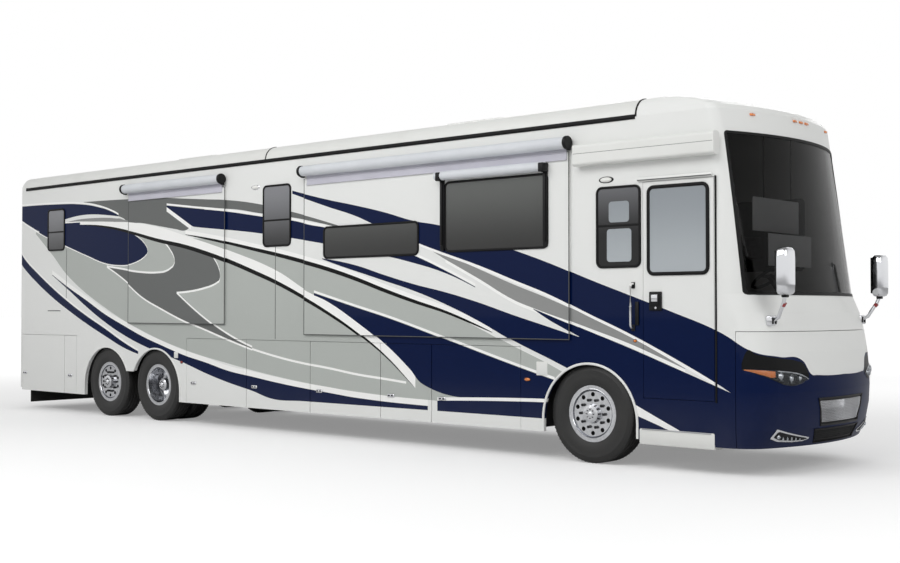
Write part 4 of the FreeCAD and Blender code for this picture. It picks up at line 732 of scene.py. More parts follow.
def rounded_loop(along, up, radius, steps=6):
    """The corners of a rounded rectangle, as (along, up) points."""
    points = []
    for turn, (x, z) in enumerate(((along[1], up[1]), (along[0], up[1]), (along[0], up[0]),
                                   (along[1], up[0]))):
        cx = x - radius if x == along[1] else x + radius
        cz = z - radius if z == up[1] else z + radius
        for step in range(steps + 1):
            a = math.pi / 2 * (turn + step / steps)
            points.append((cx + radius * math.cos(a), cz + radius * math.sin(a)))
    return points


def frame_round(mesh, side, face, along, up, radius, section):
    """A frame swept round an opening; the section holds (spread, proud)."""
    rings = []
    for spread, proud in section:
        loop = rounded_loop((along[0] - spread, along[1] + spread),
                            (up[0] - spread, up[1] + spread), max(radius + spread, 0.003))
        rings.append([mesh.verts.new(at(x, side * (face + proud), z)) for x, z in loop])
    join_rings(mesh, rings, closed=True)


print("helpers ready")

# %% [markdown]
# A coach tyre has four deep grooves round its tread, ribs between them, small blocks along
# each shoulder and a rubbing rib on its wall. The turned section gives the grooves; the blocks
# repeat round the tyre, which is work for Geometry Nodes: points on a circle, one block on
# each, turned to face outward.

# %% A ring of blocks or nuts in Geometry Nodes
def open_group(name, inputs, takes_mesh=True):
    """An empty Geometry Nodes tree, and the sockets that its inputs come from."""
    tree = bpy.data.node_groups.new(name, "GeometryNodeTree")
    face = tree.interface
    face.new_socket("Geometry", in_out="OUTPUT", socket_type="NodeSocketGeometry")
    if takes_mesh:
        face.new_socket("Geometry", in_out="INPUT", socket_type="NodeSocketGeometry")
    for label, kind in (*inputs, ("Finish", "Material")):
        face.new_socket(label, in_out="INPUT", socket_type="NodeSocket" + kind)
    return tree, add(tree, "NodeGroupInput").outputs


def close_group(tree, shape, finish):
    """Realize the copies, give them their finish and hand them out."""
    solid = add(tree, "GeometryNodeRealizeInstances", {0: shape})
    done = add(tree, "GeometryNodeSetMaterial", {0: solid.outputs[0], "Material": finish})
    add(tree, "NodeGroupOutput", {0: done.outputs[0]})
    return tree


def ring_tree(name, sides):
    """Repeats a block (4 sides) or a nut round a circle about Z, and realizes it."""
    tree, given = open_group(name, (("Count", "Int"), ("Pitch radius", "Float"), ("Level", "Float"),
                                    ("Width", "Float"), ("Height", "Float"), ("Stretch", "Float")),
                             takes_mesh=False)
    circle = add(tree, "GeometryNodeMeshCircle", {"Vertices": given["Count"],
                                                  "Radius": given["Pitch radius"]})
    nut = add(tree, "GeometryNodeMeshCylinder", {"Vertices": sides, "Radius": given["Width"],
                                                 "Depth": given["Height"]})
    where = add(tree, "GeometryNodeInputPosition")
    face_out = add(tree, "FunctionNodeAlignRotationToVector", {"Vector": where.outputs[0]}, axis="X")
    size = add(tree, "ShaderNodeCombineXYZ", {0: 1.0, 1: given["Stretch"], 2: 1.0})
    many = add(tree, "GeometryNodeInstanceOnPoints", {
        "Points": circle.outputs[0], "Instance": nut.outputs["Mesh"],
        "Rotation": face_out.outputs[0], "Scale": size.outputs[0]})
    lift = add(tree, "ShaderNodeCombineXYZ", {2: given["Level"]})
    moved = add(tree, "GeometryNodeTransform", {"Geometry": many.outputs[0],
                                                "Translation": lift.outputs[0]})
    return close_group(tree, moved.outputs[0], given["Finish"])


def grown(tree, start=None, **values):
    """The mesh that a Geometry Nodes tree makes with these inputs, from a start mesh if any."""
    host = bpy.data.objects.new("host", start or bpy.data.meshes.new("host"))
    scene.collection.objects.link(host)
    modifier = host.modifiers.new("grow", "NODES")
    modifier.node_group = tree
    for item in tree.interface.items_tree:
        wanted = item.name.lower().replace(" ", "_")
        if item.in_out == "INPUT" and wanted in values:
            modifier[item.identifier] = values[wanted]
    view = bpy.context.evaluated_depsgraph_get()
    data = bpy.data.meshes.new_from_object(host.evaluated_get(view))
    host.modifiers.remove(modifier)
    bpy.data.objects.remove(host)
    return data


block_ring = ring_tree("ring of tread blocks", 4)
nut_ring = ring_tree("ring of wheel nuts", 6)


def wheel_place(data, centre, side):
    """Turn a ring made about Z to the wheel's axle, its top outward, and put it there."""
    data.transform(Matrix.Translation(centre) @ Matrix.Rotation(math.radians(-90 * side), 4, "X"))
    return data

# %% Tyres with grooves and shoulder blocks
GROOVES = (-0.078, -0.027, 0.027, 0.078)
GROOVE_HALF, GROOVE_DEEP = 0.0055, 0.014
WALL_SECTION = ((0.115, 0.286), (0.117, 0.299), (0.128, 0.305), (0.134, 0.318), (0.143, 0.345),
                (0.1475, 0.385), (0.148, 0.410), (0.147, 0.440), (0.1485, 0.452), (0.1485, 0.460),
                (0.1455, 0.466), (0.141, 0.488), (0.134, 0.505), (0.124, 0.5165))


def tyre_section(middle):
    """A closed section (across, radius) with grooves in the tread."""
    tread = [(-0.114, TYRE_RADIUS - 0.002)]
    for groove in GROOVES:
        for share, sunk in ((-1.0, 0.0), (-0.6, GROOVE_DEEP), (0.6, GROOVE_DEEP), (1.0, 0.0)):
            tread.append((groove + GROOVE_HALF * share, TYRE_RADIUS - sunk))
    tread.append((0.114, TYRE_RADIUS - 0.002))
    left = [(-across, radius) for across, radius in WALL_SECTION]
    return [(middle + across, radius) for across, radius in left + tread + list(reversed(WALL_SECTION))]


WHEELS = (("front", 0.0, False), ("drive", -7.69, True), ("tag", -8.94, False))
TRACK, DUAL_PITCH = 1.100, 0.340
BLOCK_COUNT = 72
for word, _, twin in WHEELS:
    for side in (KERB, DRIVER):
        which = f"{word}_{{}}_{HAND[side]}"
        low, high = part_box(which.format("tyre"))
        centre = Vector(((low[0] + high[0]) / 2, side * TRACK, (low[2] + high[2]) / 2))
        mesh = bmesh.new()
        for middle in ((0.0, -DUAL_PITCH) if twin else (0.0,)):
            turned(mesh, centre, tyre_section(side * middle))
            for across in (-0.1235, 0.1235):
                blocks = grown(block_ring, count=BLOCK_COUNT, pitch_radius=0.5115, level=middle + across,
                               width=0.010, height=0.012, stretch=0.75, finish=tyre_rubber)
                mesh.from_mesh(wheel_place(blocks, centre, side))
        piece(which.format("treaded_tyre"), mesh, tyre_rubber, which.format("wheel"), 30.0,
              (which.format("tyre"),))
print("treaded tyres:", len(WHEELS) * 2)

# %% [markdown]
# The forged wheel is the CAD rim in polished alloy. Ten nuts hold it, black against the disc,
# and a brake drum darkens the hand holes from behind. The hub wears a turned cap with a ring of
# small bolts.

# %% Wheel nuts, hub caps and brake drums
NUTS, NUT_PITCH, HUB_BOLTS, BOLT_PITCH = 10, 0.148, 8, 0.046
RIM_EDGE = 0.122
for word, _, twin in WHEELS:
    for side in (KERB, DRIVER):
        which = f"{word}_{{}}_{HAND[side]}"
        body = which.format("wheel")
        low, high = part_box(which.format("rim"))
        centre = Vector(((low[0] + high[0]) / 2, side * TRACK, (low[2] + high[2]) / 2))
        disc, hub_end = (-0.158, 0.070) if twin else (0.112, 0.168)
        nuts = grown(nut_ring, count=NUTS, pitch_radius=NUT_PITCH, level=disc + 0.014, width=0.0165,
                     height=0.028, stretch=1.0, finish=dark_nut)
        seat(which.format("wheel_nuts"), wheel_place(nuts, centre, side), dark_nut, body)
        bolts = grown(nut_ring, count=HUB_BOLTS, pitch_radius=BOLT_PITCH, level=hub_end + 0.003, width=0.0065,
                      height=0.008, stretch=1.0, finish=dark_nut)
        seat(which.format("hub_bolts"), wheel_place(bolts, centre, side), dark_nut, body)
        mesh = bmesh.new()
        cap = ((0.0, 0.030), (0.004, 0.030), (0.008, 0.027), (0.012, 0.018), (0.013, 0.0))
        turned(mesh, centre, [(side * hub_end, 0.0)] + [(side * (hub_end + a), r) for a, r in cap],
               32, closed=False)
        bead = ((0.000, 0.268), (0.004, 0.262), (0.004, 0.258), (0.000, 0.255), (-0.004, 0.262))
        turned(mesh, centre, [(side * (RIM_EDGE + a), r) for a, r in bead], 72)
        piece(which.format("hub_cap"), mesh, chrome, body)
        mesh = bmesh.new()
        inner, outer = (disc - 0.095, disc - 0.045)
        drum = ((inner, 0.107), (inner, 0.232), (inner + 0.004, 0.236), (outer - 0.004, 0.236),
                (outer, 0.232), (outer, 0.107))
        turned(mesh, centre, [(side * a, r) for a, r in drum], 48)
        piece(which.format("brake_drum"), mesh, chassis_steel, body)
print("wheels finished")

# %% [markdown]
# White lips finish the wheel arches. The front one is a half ring on two short legs; behind,
# one lip follows the two tyres with a saddle between them. Each is a small rounded section
# swept along the arch's edge, so it stays even in width on straight and curve.

# %% Arch lips
ARCH_RADIUS, ARCH_CENTRE, SADDLE_TOP = 0.610, 0.450, 0.710
LIP_SECTION = ((-0.022, 0.0), (-0.022, 0.009), (-0.017, 0.014), (-0.003, 0.014), (0.003, 0.009),
               (0.003, 0.0))


def lip(name, side, path, finish, body, section=LIP_SECTION):
    """A section swept along a path of (along, up, outward x, outward z) on a side's face."""
    mesh = bmesh.new()
    rings = []
    for x, z, out_x, out_z in path:
        rings.append([mesh.verts.new(at(x + out_x * spread, side * (HALF_WIDTH + proud),
                                        z + out_z * spread)) for spread, proud in section])
    capped(mesh, rings)
    return piece(name, mesh, finish, body, 50.0)


def arc(centre, first, last, steps):
    """Points round an arch, with the direction out of it; angles from the front, upward."""
    points = []
    for step in range(steps + 1):
        a = math.radians(first + (last - first) * step / steps)
        points.append((centre + ARCH_RADIUS * math.cos(a), ARCH_CENTRE + ARCH_RADIUS * math.sin(a),
                       math.cos(a), math.sin(a)))
    return points


SKIRT = 0.303
saddle_turn = math.degrees(math.asin((SADDLE_TOP - ARCH_CENTRE) / ARCH_RADIUS))
arch_paint = plain("white gelcoat arch lip", "#E6E7E5", 0.3, 8.0, 0.04, deeper=0.08,
                   second="#C9C9C4")
for side in (KERB, DRIVER):
    hand = HAND[side]
    legs = [(ARCH_RADIUS, SKIRT, 1.0, 0.0)]
    front_path = legs + arc(0.0, 0, 180, 40) + [(-ARCH_RADIUS, SKIRT, -1.0, 0.0)]
    lip(f"front_arch_lip_{hand}", side, front_path, arch_paint, "root")
    drive_x, tag_x = WHEELS[1][1], WHEELS[2][1]
    rear_path = ([(drive_x + ARCH_RADIUS, SKIRT, 1.0, 0.0)]
                 + arc(drive_x, 0, 180 - saddle_turn, 32)
                 + arc(tag_x, saddle_turn, 180, 32)
                 + [(tag_x - ARCH_RADIUS, SKIRT, -1.0, 0.0)])
    lip(f"rear_arch_lip_{hand}", side, rear_path, arch_paint, "root")

# %% [markdown]
# Every side window sits in an extruded rubber frame, and its pane is divided by thin bars
# where the lower part slides. The frame is a rounded rectangle with the same section all the
# way round.

# %% Window frames and bars
WALL, FASCIA = HALF_WIDTH, HALF_WIDTH + 0.025
PANE_PROUD = 0.006
RUBBER = ((-0.014, PANE_PROUD), (-0.014, 0.012), (-0.008, 0.016), (0.006, 0.016), (0.011, 0.011),
          (0.011, 0.0))
SIDE_WINDOWS = (                  # name, side, face, body, along, up, bars
    ("bedroom_rear", KERB, WALL, "root", (-10.62, -10.14), (2.57, 3.22), ((None, 2.86),)),
    ("galley", KERB, WALL, "root", (-5.27, -4.73), (2.46, 3.26), ((None, 2.80),)),
    ("dinette", KERB, FASCIA, "slide_front_right", (-4.06, -2.43), (2.27, 2.66), ()),
    ("sofa", KERB, FASCIA, "slide_front_right", (-2.0, -0.52), (2.29, 3.09), ()),
    ("passenger", KERB, WALL, "root", (0.11, 0.64), (2.06, 2.89), ((None, 2.49),)),
    ("bedroom_rear_left", DRIVER, WALL, "root", (-10.62, -10.14), (2.57, 3.22), ((None, 2.86),)),
    ("driver", DRIVER, WALL, "root", (0.33, 1.23), (2.06, 2.89), ((0.80, None),)),
    ("bedroom_left", DRIVER, FASCIA, "slide_left", (-7.4, -6.3), (2.5, 3.05), ((-6.85, None),)),
    ("kitchen_left", DRIVER, FASCIA, "slide_left", (-5.3, -4.0), (2.3, 3.05), ((-4.65, None),)),
    ("saloon_left", DRIVER, FASCIA, "slide_left", (-2.6, -1.2), (2.3, 3.05), ((-1.9, None),)),
)
CORNER = 0.060
for name, side, face, body, along, up, bars in SIDE_WINDOWS:
    mesh = bmesh.new()
    frame_round(mesh, side, face, along, up, CORNER, RUBBER)
    for bar_x, bar_z in bars:
        across = span(side, face + PANE_PROUD, face + PANE_PROUD + 0.005)
        if bar_z:
            block(mesh, (along[0] + 0.01, along[1] - 0.01), across, (bar_z - 0.011, bar_z + 0.011), 0.002)
        else:
            block(mesh, (bar_x - 0.011, bar_x + 0.011), across, (up[0] + 0.01, up[1] - 0.01), 0.002)
    piece(name + "_window_frame", mesh, seal_rubber, body, 60.0)

# The passenger's window shows a pale blind behind its two lights.
for number, (up, along) in enumerate((((2.523, 2.74), (0.26, 0.51)), ((2.114, 2.455), (0.236, 0.538)))):
    mesh = bmesh.new()
    loop = rounded_loop(along, up, 0.035)
    face_y = KERB * (WALL + PANE_PROUD + 0.0008)
    mesh.faces.new([mesh.verts.new(at(x, face_y, z)) for x, z in loop])
    made = bmesh.ops.extrude_face_region(mesh, geom=mesh.faces[:])
    bmesh.ops.translate(mesh, verts=[v for v in made["geom"] if isinstance(v, bmesh.types.BMVert)],
                        vec=(0, KERB * 0.0015, 0))
    piece(f"passenger_blind_{number}", mesh, blind_glass, "root")
print("window frames:", len(SIDE_WINDOWS))

# %% [markdown]
# The entry door has a black rubber seal up its hinge edge, a frame round its pane, a paddle
# latch, and a drip rail over it. A white grab handle stands beside it.

# %% Entry door trim
mesh = bmesh.new()
frame_round(mesh, KERB, WALL, (0.74, 1.42), (1.98, 2.86), CORNER,
            ((-0.018, PANE_PROUD), (-0.018, 0.011), (-0.010, 0.015), (0.012, 0.015), (0.018, 0.010),
             (0.018, 0.0)))
piece("door_window_frame", mesh, seal_rubber, "entry_door", 60.0)

slabs("door_latch_case", black_moulding, "entry_door", 50.0,
      ((0.752, 0.898), (-WALL - 0.020, -WALL), (1.61, 1.80), 0.008),
      ((0.775, 0.875), (-WALL - 0.034, -WALL - 0.016), (1.665, 1.785), 0.006))
mesh = bmesh.new()
block(mesh, (0.79, 0.862), (-WALL - 0.041, -WALL - 0.033), (1.70, 1.77), 0.003)
tube(mesh, [at(0.835, -WALL - 0.019, 1.637), at(0.835, -WALL - 0.026, 1.637)], 0.012, 16)
piece("door_latch_paddle", mesh, chrome, "entry_door", 50.0)

slabs("door_hinge_seal", seal_rubber, "root", 50.0,
      ((1.497, 1.517), (-WALL - 0.006, -WALL), (0.71, 2.93), 0.002))
slabs("door_drip_rail", arch_paint, "root", 50.0,
      ((0.62, 1.475), (-WALL - 0.028, -WALL), (2.928, 2.946), 0.004),
      ((0.62, 1.475), (-WALL - 0.028, -WALL - 0.018), (2.928, 2.962), 0.004))

HANDLE_X, HANDLE_OUT = 0.555, 0.055
mesh = bmesh.new()
path = [at(HANDLE_X, -WALL, 1.885), at(HANDLE_X, -WALL - HANDLE_OUT * 0.75, 1.880),
        at(HANDLE_X, -WALL - HANDLE_OUT, 1.860), at(HANDLE_X, -WALL - HANDLE_OUT, 1.640)]
tube(mesh, path, 0.011)
piece("grab_handle_white", mesh, arch_paint, "root", 60.0)
mesh = bmesh.new()
path = [at(HANDLE_X, -WALL - HANDLE_OUT, 1.650), at(HANDLE_X, -WALL - HANDLE_OUT, 1.460),
        at(HANDLE_X, -WALL - HANDLE_OUT * 0.75, 1.440), at(HANDLE_X, -WALL, 1.435)]
tube(mesh, path, 0.013)
piece("grab_handle_foot", mesh, chrome, "root", 60.0)
mesh = bmesh.new()
for low_z in (1.43, 1.865):
    block(mesh, (HANDLE_X - 0.022, HANDLE_X + 0.022), (-WALL - 0.008, -WALL), (low_z - 0.03, low_z + 0.035),
          0.004)
block(mesh, (HANDLE_X + 0.028, HANDLE_X + 0.070), (-WALL - 0.018, -WALL), (1.46, 1.70), 0.006)
piece("grab_handle_plates", mesh, black_moulding, "root", 50.0)

# %% [markdown]
# A black rail runs along the roof line, where the roof skin is riveted to the wall, and turns up
# at the cap. Slim beads mark the edges of the slide-outs, and seams mark the wall's sheets.

# %% Roof rail, beads and seams
RAIL_SECTION = ((-0.024, 0.0), (-0.024, 0.008), (-0.016, 0.013), (0.016, 0.013), (0.024, 0.008),
                (0.024, 0.0))
for side in (KERB, DRIVER):
    hand = HAND[side]
    mesh = bmesh.new()
    stops = [-11.30 + 11.88 * step / 48 for step in range(49)]
    rings = [[mesh.verts.new(at(x, side * (WALL + proud), ROOF_LINE - 0.002 + spread))
              for spread, proud in RAIL_SECTION] for x in stops]
    capped(mesh, rings)
    piece(f"roof_rail_{hand}", mesh, seal_rubber, "root", 50.0)

    # The rail turns up over the shoulder at the cap, and a joint crosses the roof midway.
    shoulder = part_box("roof")[1][2] - ROOF_LINE
    for name, place, width, body in (("cap_joint", 0.590, 0.016, "root"),
                                     ("roof_joint", -5.24, 0.012, "root")):
        mesh = bmesh.new()
        rings = []
        for step in range(13):
            turn = math.radians(88 * step / 12)
            reach = shoulder + 0.004
            y = WALL - shoulder + reach * math.cos(turn)
            z = ROOF_LINE + reach * math.sin(turn)
            rings.append([mesh.verts.new(at(place + dx, side * (y + lift * math.cos(turn)),
                                            z + lift * math.sin(turn)))
                          for dx, lift in ((-width / 2, -0.006), (-width / 2, 0.003),
                                           (width / 2, 0.003), (width / 2, -0.006))])
        capped(mesh, rings)
        piece(f"{name}_{hand}", mesh, seal_rubber, body, 40.0)

# The dark grey of the beads, seams and joints is sealant with painted shadow: the shade inside each joint is
# put into its colour.
seam_sealant_and_shadow = plain("dark seam sealant with painted shadow", "#4A4C4C", 0.6, 2.0, 0.1, second="#2C2E2E")
BEAD = 0.005
SLIDES = (("slide_front_right", KERB, (-4.44, -0.24), (1.30, 3.30)),
          ("slide_rear_right", KERB, (-8.35, -6.07), (1.42, 3.30)),
          ("slide_left", DRIVER, (-8.30, -0.60), (1.30, 3.30)))
for name, side, along, up in SLIDES:
    mesh = bmesh.new()
    across = span(side, WALL + 0.020, FASCIA + 0.003)
    for x in along:
        block(mesh, (x - BEAD, x + BEAD), across, (up[0] - BEAD, up[1] + BEAD), 0.002)
    block(mesh, along, across, (up[0] - BEAD, up[0] + BEAD), 0.002)
    piece(name + "_edge_bead", mesh, seam_sealant_and_shadow, name, 50.0)
mesh = bmesh.new()
for x, low_z, high_z in ((-10.08, 1.80, 2.575), (-5.03, 1.23, 2.45)):
    block(mesh, (x - 0.005, x + 0.005), (-WALL - 0.0012, -WALL), (low_z, high_z), 0.0004)
block(mesh, (-10.62, -10.25), (-WALL - 0.004, -WALL), (1.594, 1.606), 0.001)
piece("wall_seams_right", mesh, seam_sealant_and_shadow, "root", 50.0)

# %% [markdown]
# Each slide-out carries a topper: silver cloth wound on a roller, with moulded end caps, above
# a fixed flange. The rollers are turned from one section with a slight belly of wound cloth, so
# they don't look like plain pipe, and the flange has a lip for water.

# %% Slide-out toppers and window awning
silver_cloth = plain("silver awning cloth, wound", "#D3D6DA", 0.5, 3.0, 0.15, deeper=0.25,
                     second="#B4B8BE")
flange_metal = plain("lilac grey extruded flange", "#C9C8D2", 0.42, 4.0, 0.08, deeper=0.2,
                     second="#A9A8B4")
TOPPERS = (                       # node, body, side, rear, front, height, radius, off the face
    ("slide_front_right_awning", "slide_front_right", KERB, -4.46, -0.20, 3.395, 0.070, 0.008),
    ("slide_rear_right_awning", "slide_rear_right", KERB, -8.42, -6.06, 3.415, 0.070, 0.008),
    ("slide_left_awning", "slide_left", DRIVER, -8.44, -0.46, 3.395, 0.070, 0.008),
)


def roller(mesh, side, rear, front, height, radius, middle):
    """A wound roller along X, its rings a little fuller between the ends."""
    rings = []
    stops = [(0.0, 0.62), (0.004, 0.80), (0.012, 0.90), (0.05, 0.93), (0.3, 0.97), (0.7, 0.975)]
    places = [(rear + a, f) for a, f in stops] + [(front - a, f) for a, f in reversed(stops)]
    for x, fullness in places:
        rings.append([mesh.verts.new(at(x, side * (middle + radius * fullness * math.cos(t)),
                                        height + radius * fullness * math.sin(t)))
                      for t in angles(32)])
    capped(mesh, rings)


def end_cap(mesh, side, place, height, radius, middle):
    """A moulded cap over a roller's end: a short drum with a foot down to the face."""
    turned_rings = []
    for dx, share in ((-0.020, 0.90), (-0.020, 1.0), (-0.014, 1.04), (0.014, 1.04), (0.022, 0.96),
                      (0.022, 0.70)):
        turned_rings.append([mesh.verts.new(at(place + dx, side * (middle + radius * share * math.cos(t)),
                                               height + radius * share * math.sin(t)))
                             for t in angles(24)])
    capped(mesh, turned_rings)
    block(mesh, (place - 0.018, place + 0.018), span(side, WALL + 0.028, middle),
          (height - radius * 1.15, height + 0.01), 0.004)


for node_name, body, side, rear, front, height, radius, off in TOPPERS:
    middle = WALL + off + radius
    cloth = bmesh.new()
    roller(cloth, side, rear + 0.02, front - 0.02, height, radius, middle)
    cloth_piece = piece(node_name + "_cloth", cloth, silver_cloth, body, 40.0)
    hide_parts(node_name)
    metal = bmesh.new()
    face_y = span(side, FASCIA + 0.001, FASCIA + 0.011)
    block(metal, (rear + 0.08, front - 0.06), face_y, (height - 0.170, height - 0.03), 0.002)
    lip_y = span(side, FASCIA + 0.001, FASCIA + 0.022)
    block(metal, (rear + 0.08, front - 0.06), lip_y, (height - 0.178, height - 0.168), 0.002)
    block(metal, (rear + 0.08, front - 0.06), lip_y, (height - 0.100, height - 0.094), 0.002)
    piece(node_name + "_flange", metal, flange_metal, body, 40.0)
    caps = bmesh.new()
    end_cap(caps, side, front - 0.022, height, radius, middle)
    end_cap(caps, side, rear + 0.022, height, radius, middle)
    piece(node_name + "_caps", caps, black_moulding, body, 40.0)

AWNING_HEIGHT, AWNING_RADIUS = 3.165, 0.055
mesh = bmesh.new()
roller(mesh, KERB, -2.11, -0.51, AWNING_HEIGHT, AWNING_RADIUS, FASCIA + AWNING_RADIUS + 0.002)
piece("window_awning_cloth", mesh, silver_cloth, "slide_front_right", 40.0)
mesh = bmesh.new()
for place in (-2.035, -0.54):
    block(mesh, (place - 0.026, place + 0.026), (-FASCIA - 0.028, -FASCIA - 0.001), (2.30, 3.20), 0.005)
    block(mesh, (place - 0.016, place + 0.016), (-FASCIA - 0.046, -FASCIA - 0.024), (2.36, 3.13), 0.004)
    block(mesh, (place - 0.034, place + 0.034), (-FASCIA - 0.112, -FASCIA - 0.001), (3.105, 3.205),
          0.012)
piece("window_awning_arms", mesh, black_moulding, "slide_front_right", 50.0)

# Dark joint line on the door awning: sealant colour with painted shadow.
slabs("door_awning_joint", seam_sealant_and_shadow, "root", 50.0,
      ((-0.12, 1.54), (-WALL - 0.1155, -WALL - 0.100), (3.256, 3.262), 0.002))
print("toppers:", len(TOPPERS))

# %% [markdown]
# Small lamps and latches dot the side. The bay-door latches repeat, so Geometry Nodes sets the
# same softened bar on each door's latch point.

# %% Porch lights and marker lamps
def oval_lamp(name, centre, half, proud, lens, side=KERB, face=WALL, body="root", rim=None):
    """A domed oval lens in a slim bezel on a side's face."""
    along, up = centre
    for part, grow, rise, finish in (("bezel", 1.25, 0.45, rim or black_moulding), ("lens", 1.0, 1.0, lens)):
        mesh = bmesh.new()
        rings = []
        for step in range(6):
            turn = math.pi / 2 * step / 6
            size = grow * math.cos(turn)
            lift = proud * rise * math.sin(turn)
            rings.append([mesh.verts.new(at(along + half[0] * size * math.cos(t), side * (face + lift),
                                            up + half[1] * size * math.sin(t)))
                          for t in angles(28)])
        capped(mesh, rings)
        piece(f"{name}_{part}", mesh, finish, body, 30.0)


oval_lamp("porch_light_door", (0.225, 2.972), (0.075, 0.028), 0.030, porch_lens)
oval_lamp("porch_light_mid", (-5.44, 3.26), (0.070, 0.028), 0.030, porch_lens, rim=chrome)
oval_lamp("marker_front", (-0.82, 0.855), (0.040, 0.018), 0.016, amber_lens)
oval_lamp("marker_turn", (0.575, 1.30), (0.020, 0.014), 0.012, amber_lens)
oval_lamp("marker_rear", (-7.06, 0.87), (0.030, 0.018), 0.014, red_lens)
oval_lamp("marker_front_left", (-0.82, 0.855), (0.040, 0.018), 0.016, amber_lens, side=DRIVER)
oval_lamp("marker_rear_left", (-7.06, 0.87), (0.030, 0.018), 0.014, red_lens, side=DRIVER)

# %% Bay-door latches in Geometry Nodes
LATCHES = {
    KERB: ((-11.30, 1), (-9.95, 2), (-6.78, 3), (-5.45, 4), (-4.17, 5), (-2.90, 6), (-2.07, 7)),
    DRIVER: ((-6.78, 1), (-5.45, 2), (-4.17, 3), (-2.07, 4)),
}
LATCH_Z = 0.585


def latch_tree():
    """Softened latch bars set on the points of a mesh."""
    tree, given = open_group("latches on points",
                             (("Length", "Float"), ("Height", "Float"), ("Depth", "Float")))
    size = add(tree, "ShaderNodeCombineXYZ", {"X": given["Length"], "Y": given["Depth"],
                                              "Z": given["Height"]})
    bar = add(tree, "GeometryNodeMeshCube", {"Size": size.outputs[0], "Vertices X": 5, "Vertices Z": 3})
    soft = add(tree, "GeometryNodeSubdivisionSurface", {"Mesh": bar.outputs["Mesh"], "Level": 1})
    smooth = add(tree, "GeometryNodeSetShadeSmooth", {"Geometry": soft.outputs["Mesh"]})
    spots = add(tree, "GeometryNodeInstanceOnPoints", {"Points": given["Geometry"],
                                                       "Instance": smooth.outputs[0]})
    return close_group(tree, spots.outputs["Instances"], given["Finish"])


latches = latch_tree()
for side, places in LATCHES.items():
    hand = HAND[side]
    for place, number in places:
        points = bpy.data.meshes.new("latch points")
        points.from_pydata([at(place, side * (WALL + 0.006), LATCH_Z)], [], [])
        data = grown(latches, points, length=0.12, height=0.046, depth=0.016, finish=chrome)
        seat(f"bay_latch_{hand}_{number}", data, chrome, f"bay_door_{hand}_{number}", 50.0)
        mesh = bmesh.new()
        for dx in (-0.026, 0.026):
            across = span(side, WALL + 0.0085, WALL + 0.0155)
            block(mesh, (place + dx - 0.016, place + dx + 0.016), across,
                  (LATCH_Z - 0.009, LATCH_Z + 0.009), 0.002)
        piece(f"bay_latch_slots_{hand}_{number}", mesh, black_moulding,
              f"bay_door_{hand}_{number}", 50.0)
print("latches:", sum(len(places) for places in LATCHES.values()))

# %% [markdown]
# The nose is one curved moulding, so everything on it follows that curve. A ray sent back from
# in front of the coach finds the surface, and each lamp is a grid laid on it between an upper
# and a lower edge, raised in the middle like a moulded lens.

# %% Lamps on the curved nose
view = bpy.context.evaluated_depsgraph_get()
NOSE_SKINS = [BVHTree.FromObject(nodes[name], view)
              for name in ("front_mask", "front_lamps", "front_grille", "front_cap", "windshield")]


def nose_at(y, z):
    """How far forward the nose reaches at a height and a distance from the middle."""
    hits = [skin.ray_cast(Vector((9.0, y, z)), Vector((-1, 0, 0)))[0] for skin in NOSE_SKINS]
    return max([hit.x for hit in hits if hit] or [AXLE_X + 1.6])


def height_at(points, place):
    """The height of an edge at a place between its first and last."""
    for (a, low), (b, high) in zip(points, points[1:]):
        if place <= b:
            return low + (high - low) * max(0.0, place - a) / (b - a)
    return points[-1][1]


def laid_on_nose(top, bottom, side, lift, crown=0.0, steps=28, rows=6, depth=0.004):
    """A closed patch on the nose between two edges, given from the outer end inward."""
    mesh = bmesh.new()
    grids = []
    for back in (0.0, depth):
        grid = []
        for i in range(steps + 1):
            reach = top[0][0] + (top[-1][0] - top[0][0]) * i / steps
            low, high = height_at(bottom, reach), height_at(top, reach)
            line = []
            for j in range(rows + 1):
                z = low + (high - low) * j / rows
                swell = crown * (math.sin(math.pi * i / steps) * math.sin(math.pi * j / rows)) ** 0.5
                y = side * (REACH_FROM - reach)
                line.append(mesh.verts.new((nose_at(y, z) + lift + swell * (not back) - back, y, z)))
            grid.append(line)
        grids.append(grid)
    front, rear = grids
    for i in range(steps):
        for j in range(rows):
            mesh.faces.new((front[i][j], front[i + 1][j], front[i + 1][j + 1], front[i][j + 1]))
            mesh.faces.new((rear[i][j], rear[i][j + 1], rear[i + 1][j + 1], rear[i + 1][j]))
    rim = [(i, 0) for i in range(steps)] + [(steps, j) for j in range(rows)]
    rim += [(i, rows) for i in range(steps, 0, -1)] + [(0, j) for j in range(rows, 0, -1)]
    for (i, j), (k, l) in zip(rim, rim[1:] + rim[:1]):
        mesh.faces.new((front[i][j], rear[i][j], rear[k][l], front[k][l]))
    bmesh.ops.remove_doubles(mesh, verts=mesh.verts[:], dist=0.00005)
    return mesh


def round_lamp(mesh, y, z, radius, lift, dish=0.018):
    """A projector: a turned bezel with a domed lens, facing forward."""
    x = nose_at(y, z) + lift
    rings = []
    for share, push in ((1.0, -0.012), (1.0, 0.004), (0.90, 0.007), (0.78, -0.004), (0.70, 0.0),
                        (0.5, dish * 0.6), (0.25, dish * 0.95), (0.02, dish)):
        rings.append([mesh.verts.new((x + push, y + radius * share * math.cos(t),
                                      z + radius * share * math.sin(t)))
                      for t in angles(28)])
    capped(mesh, rings)


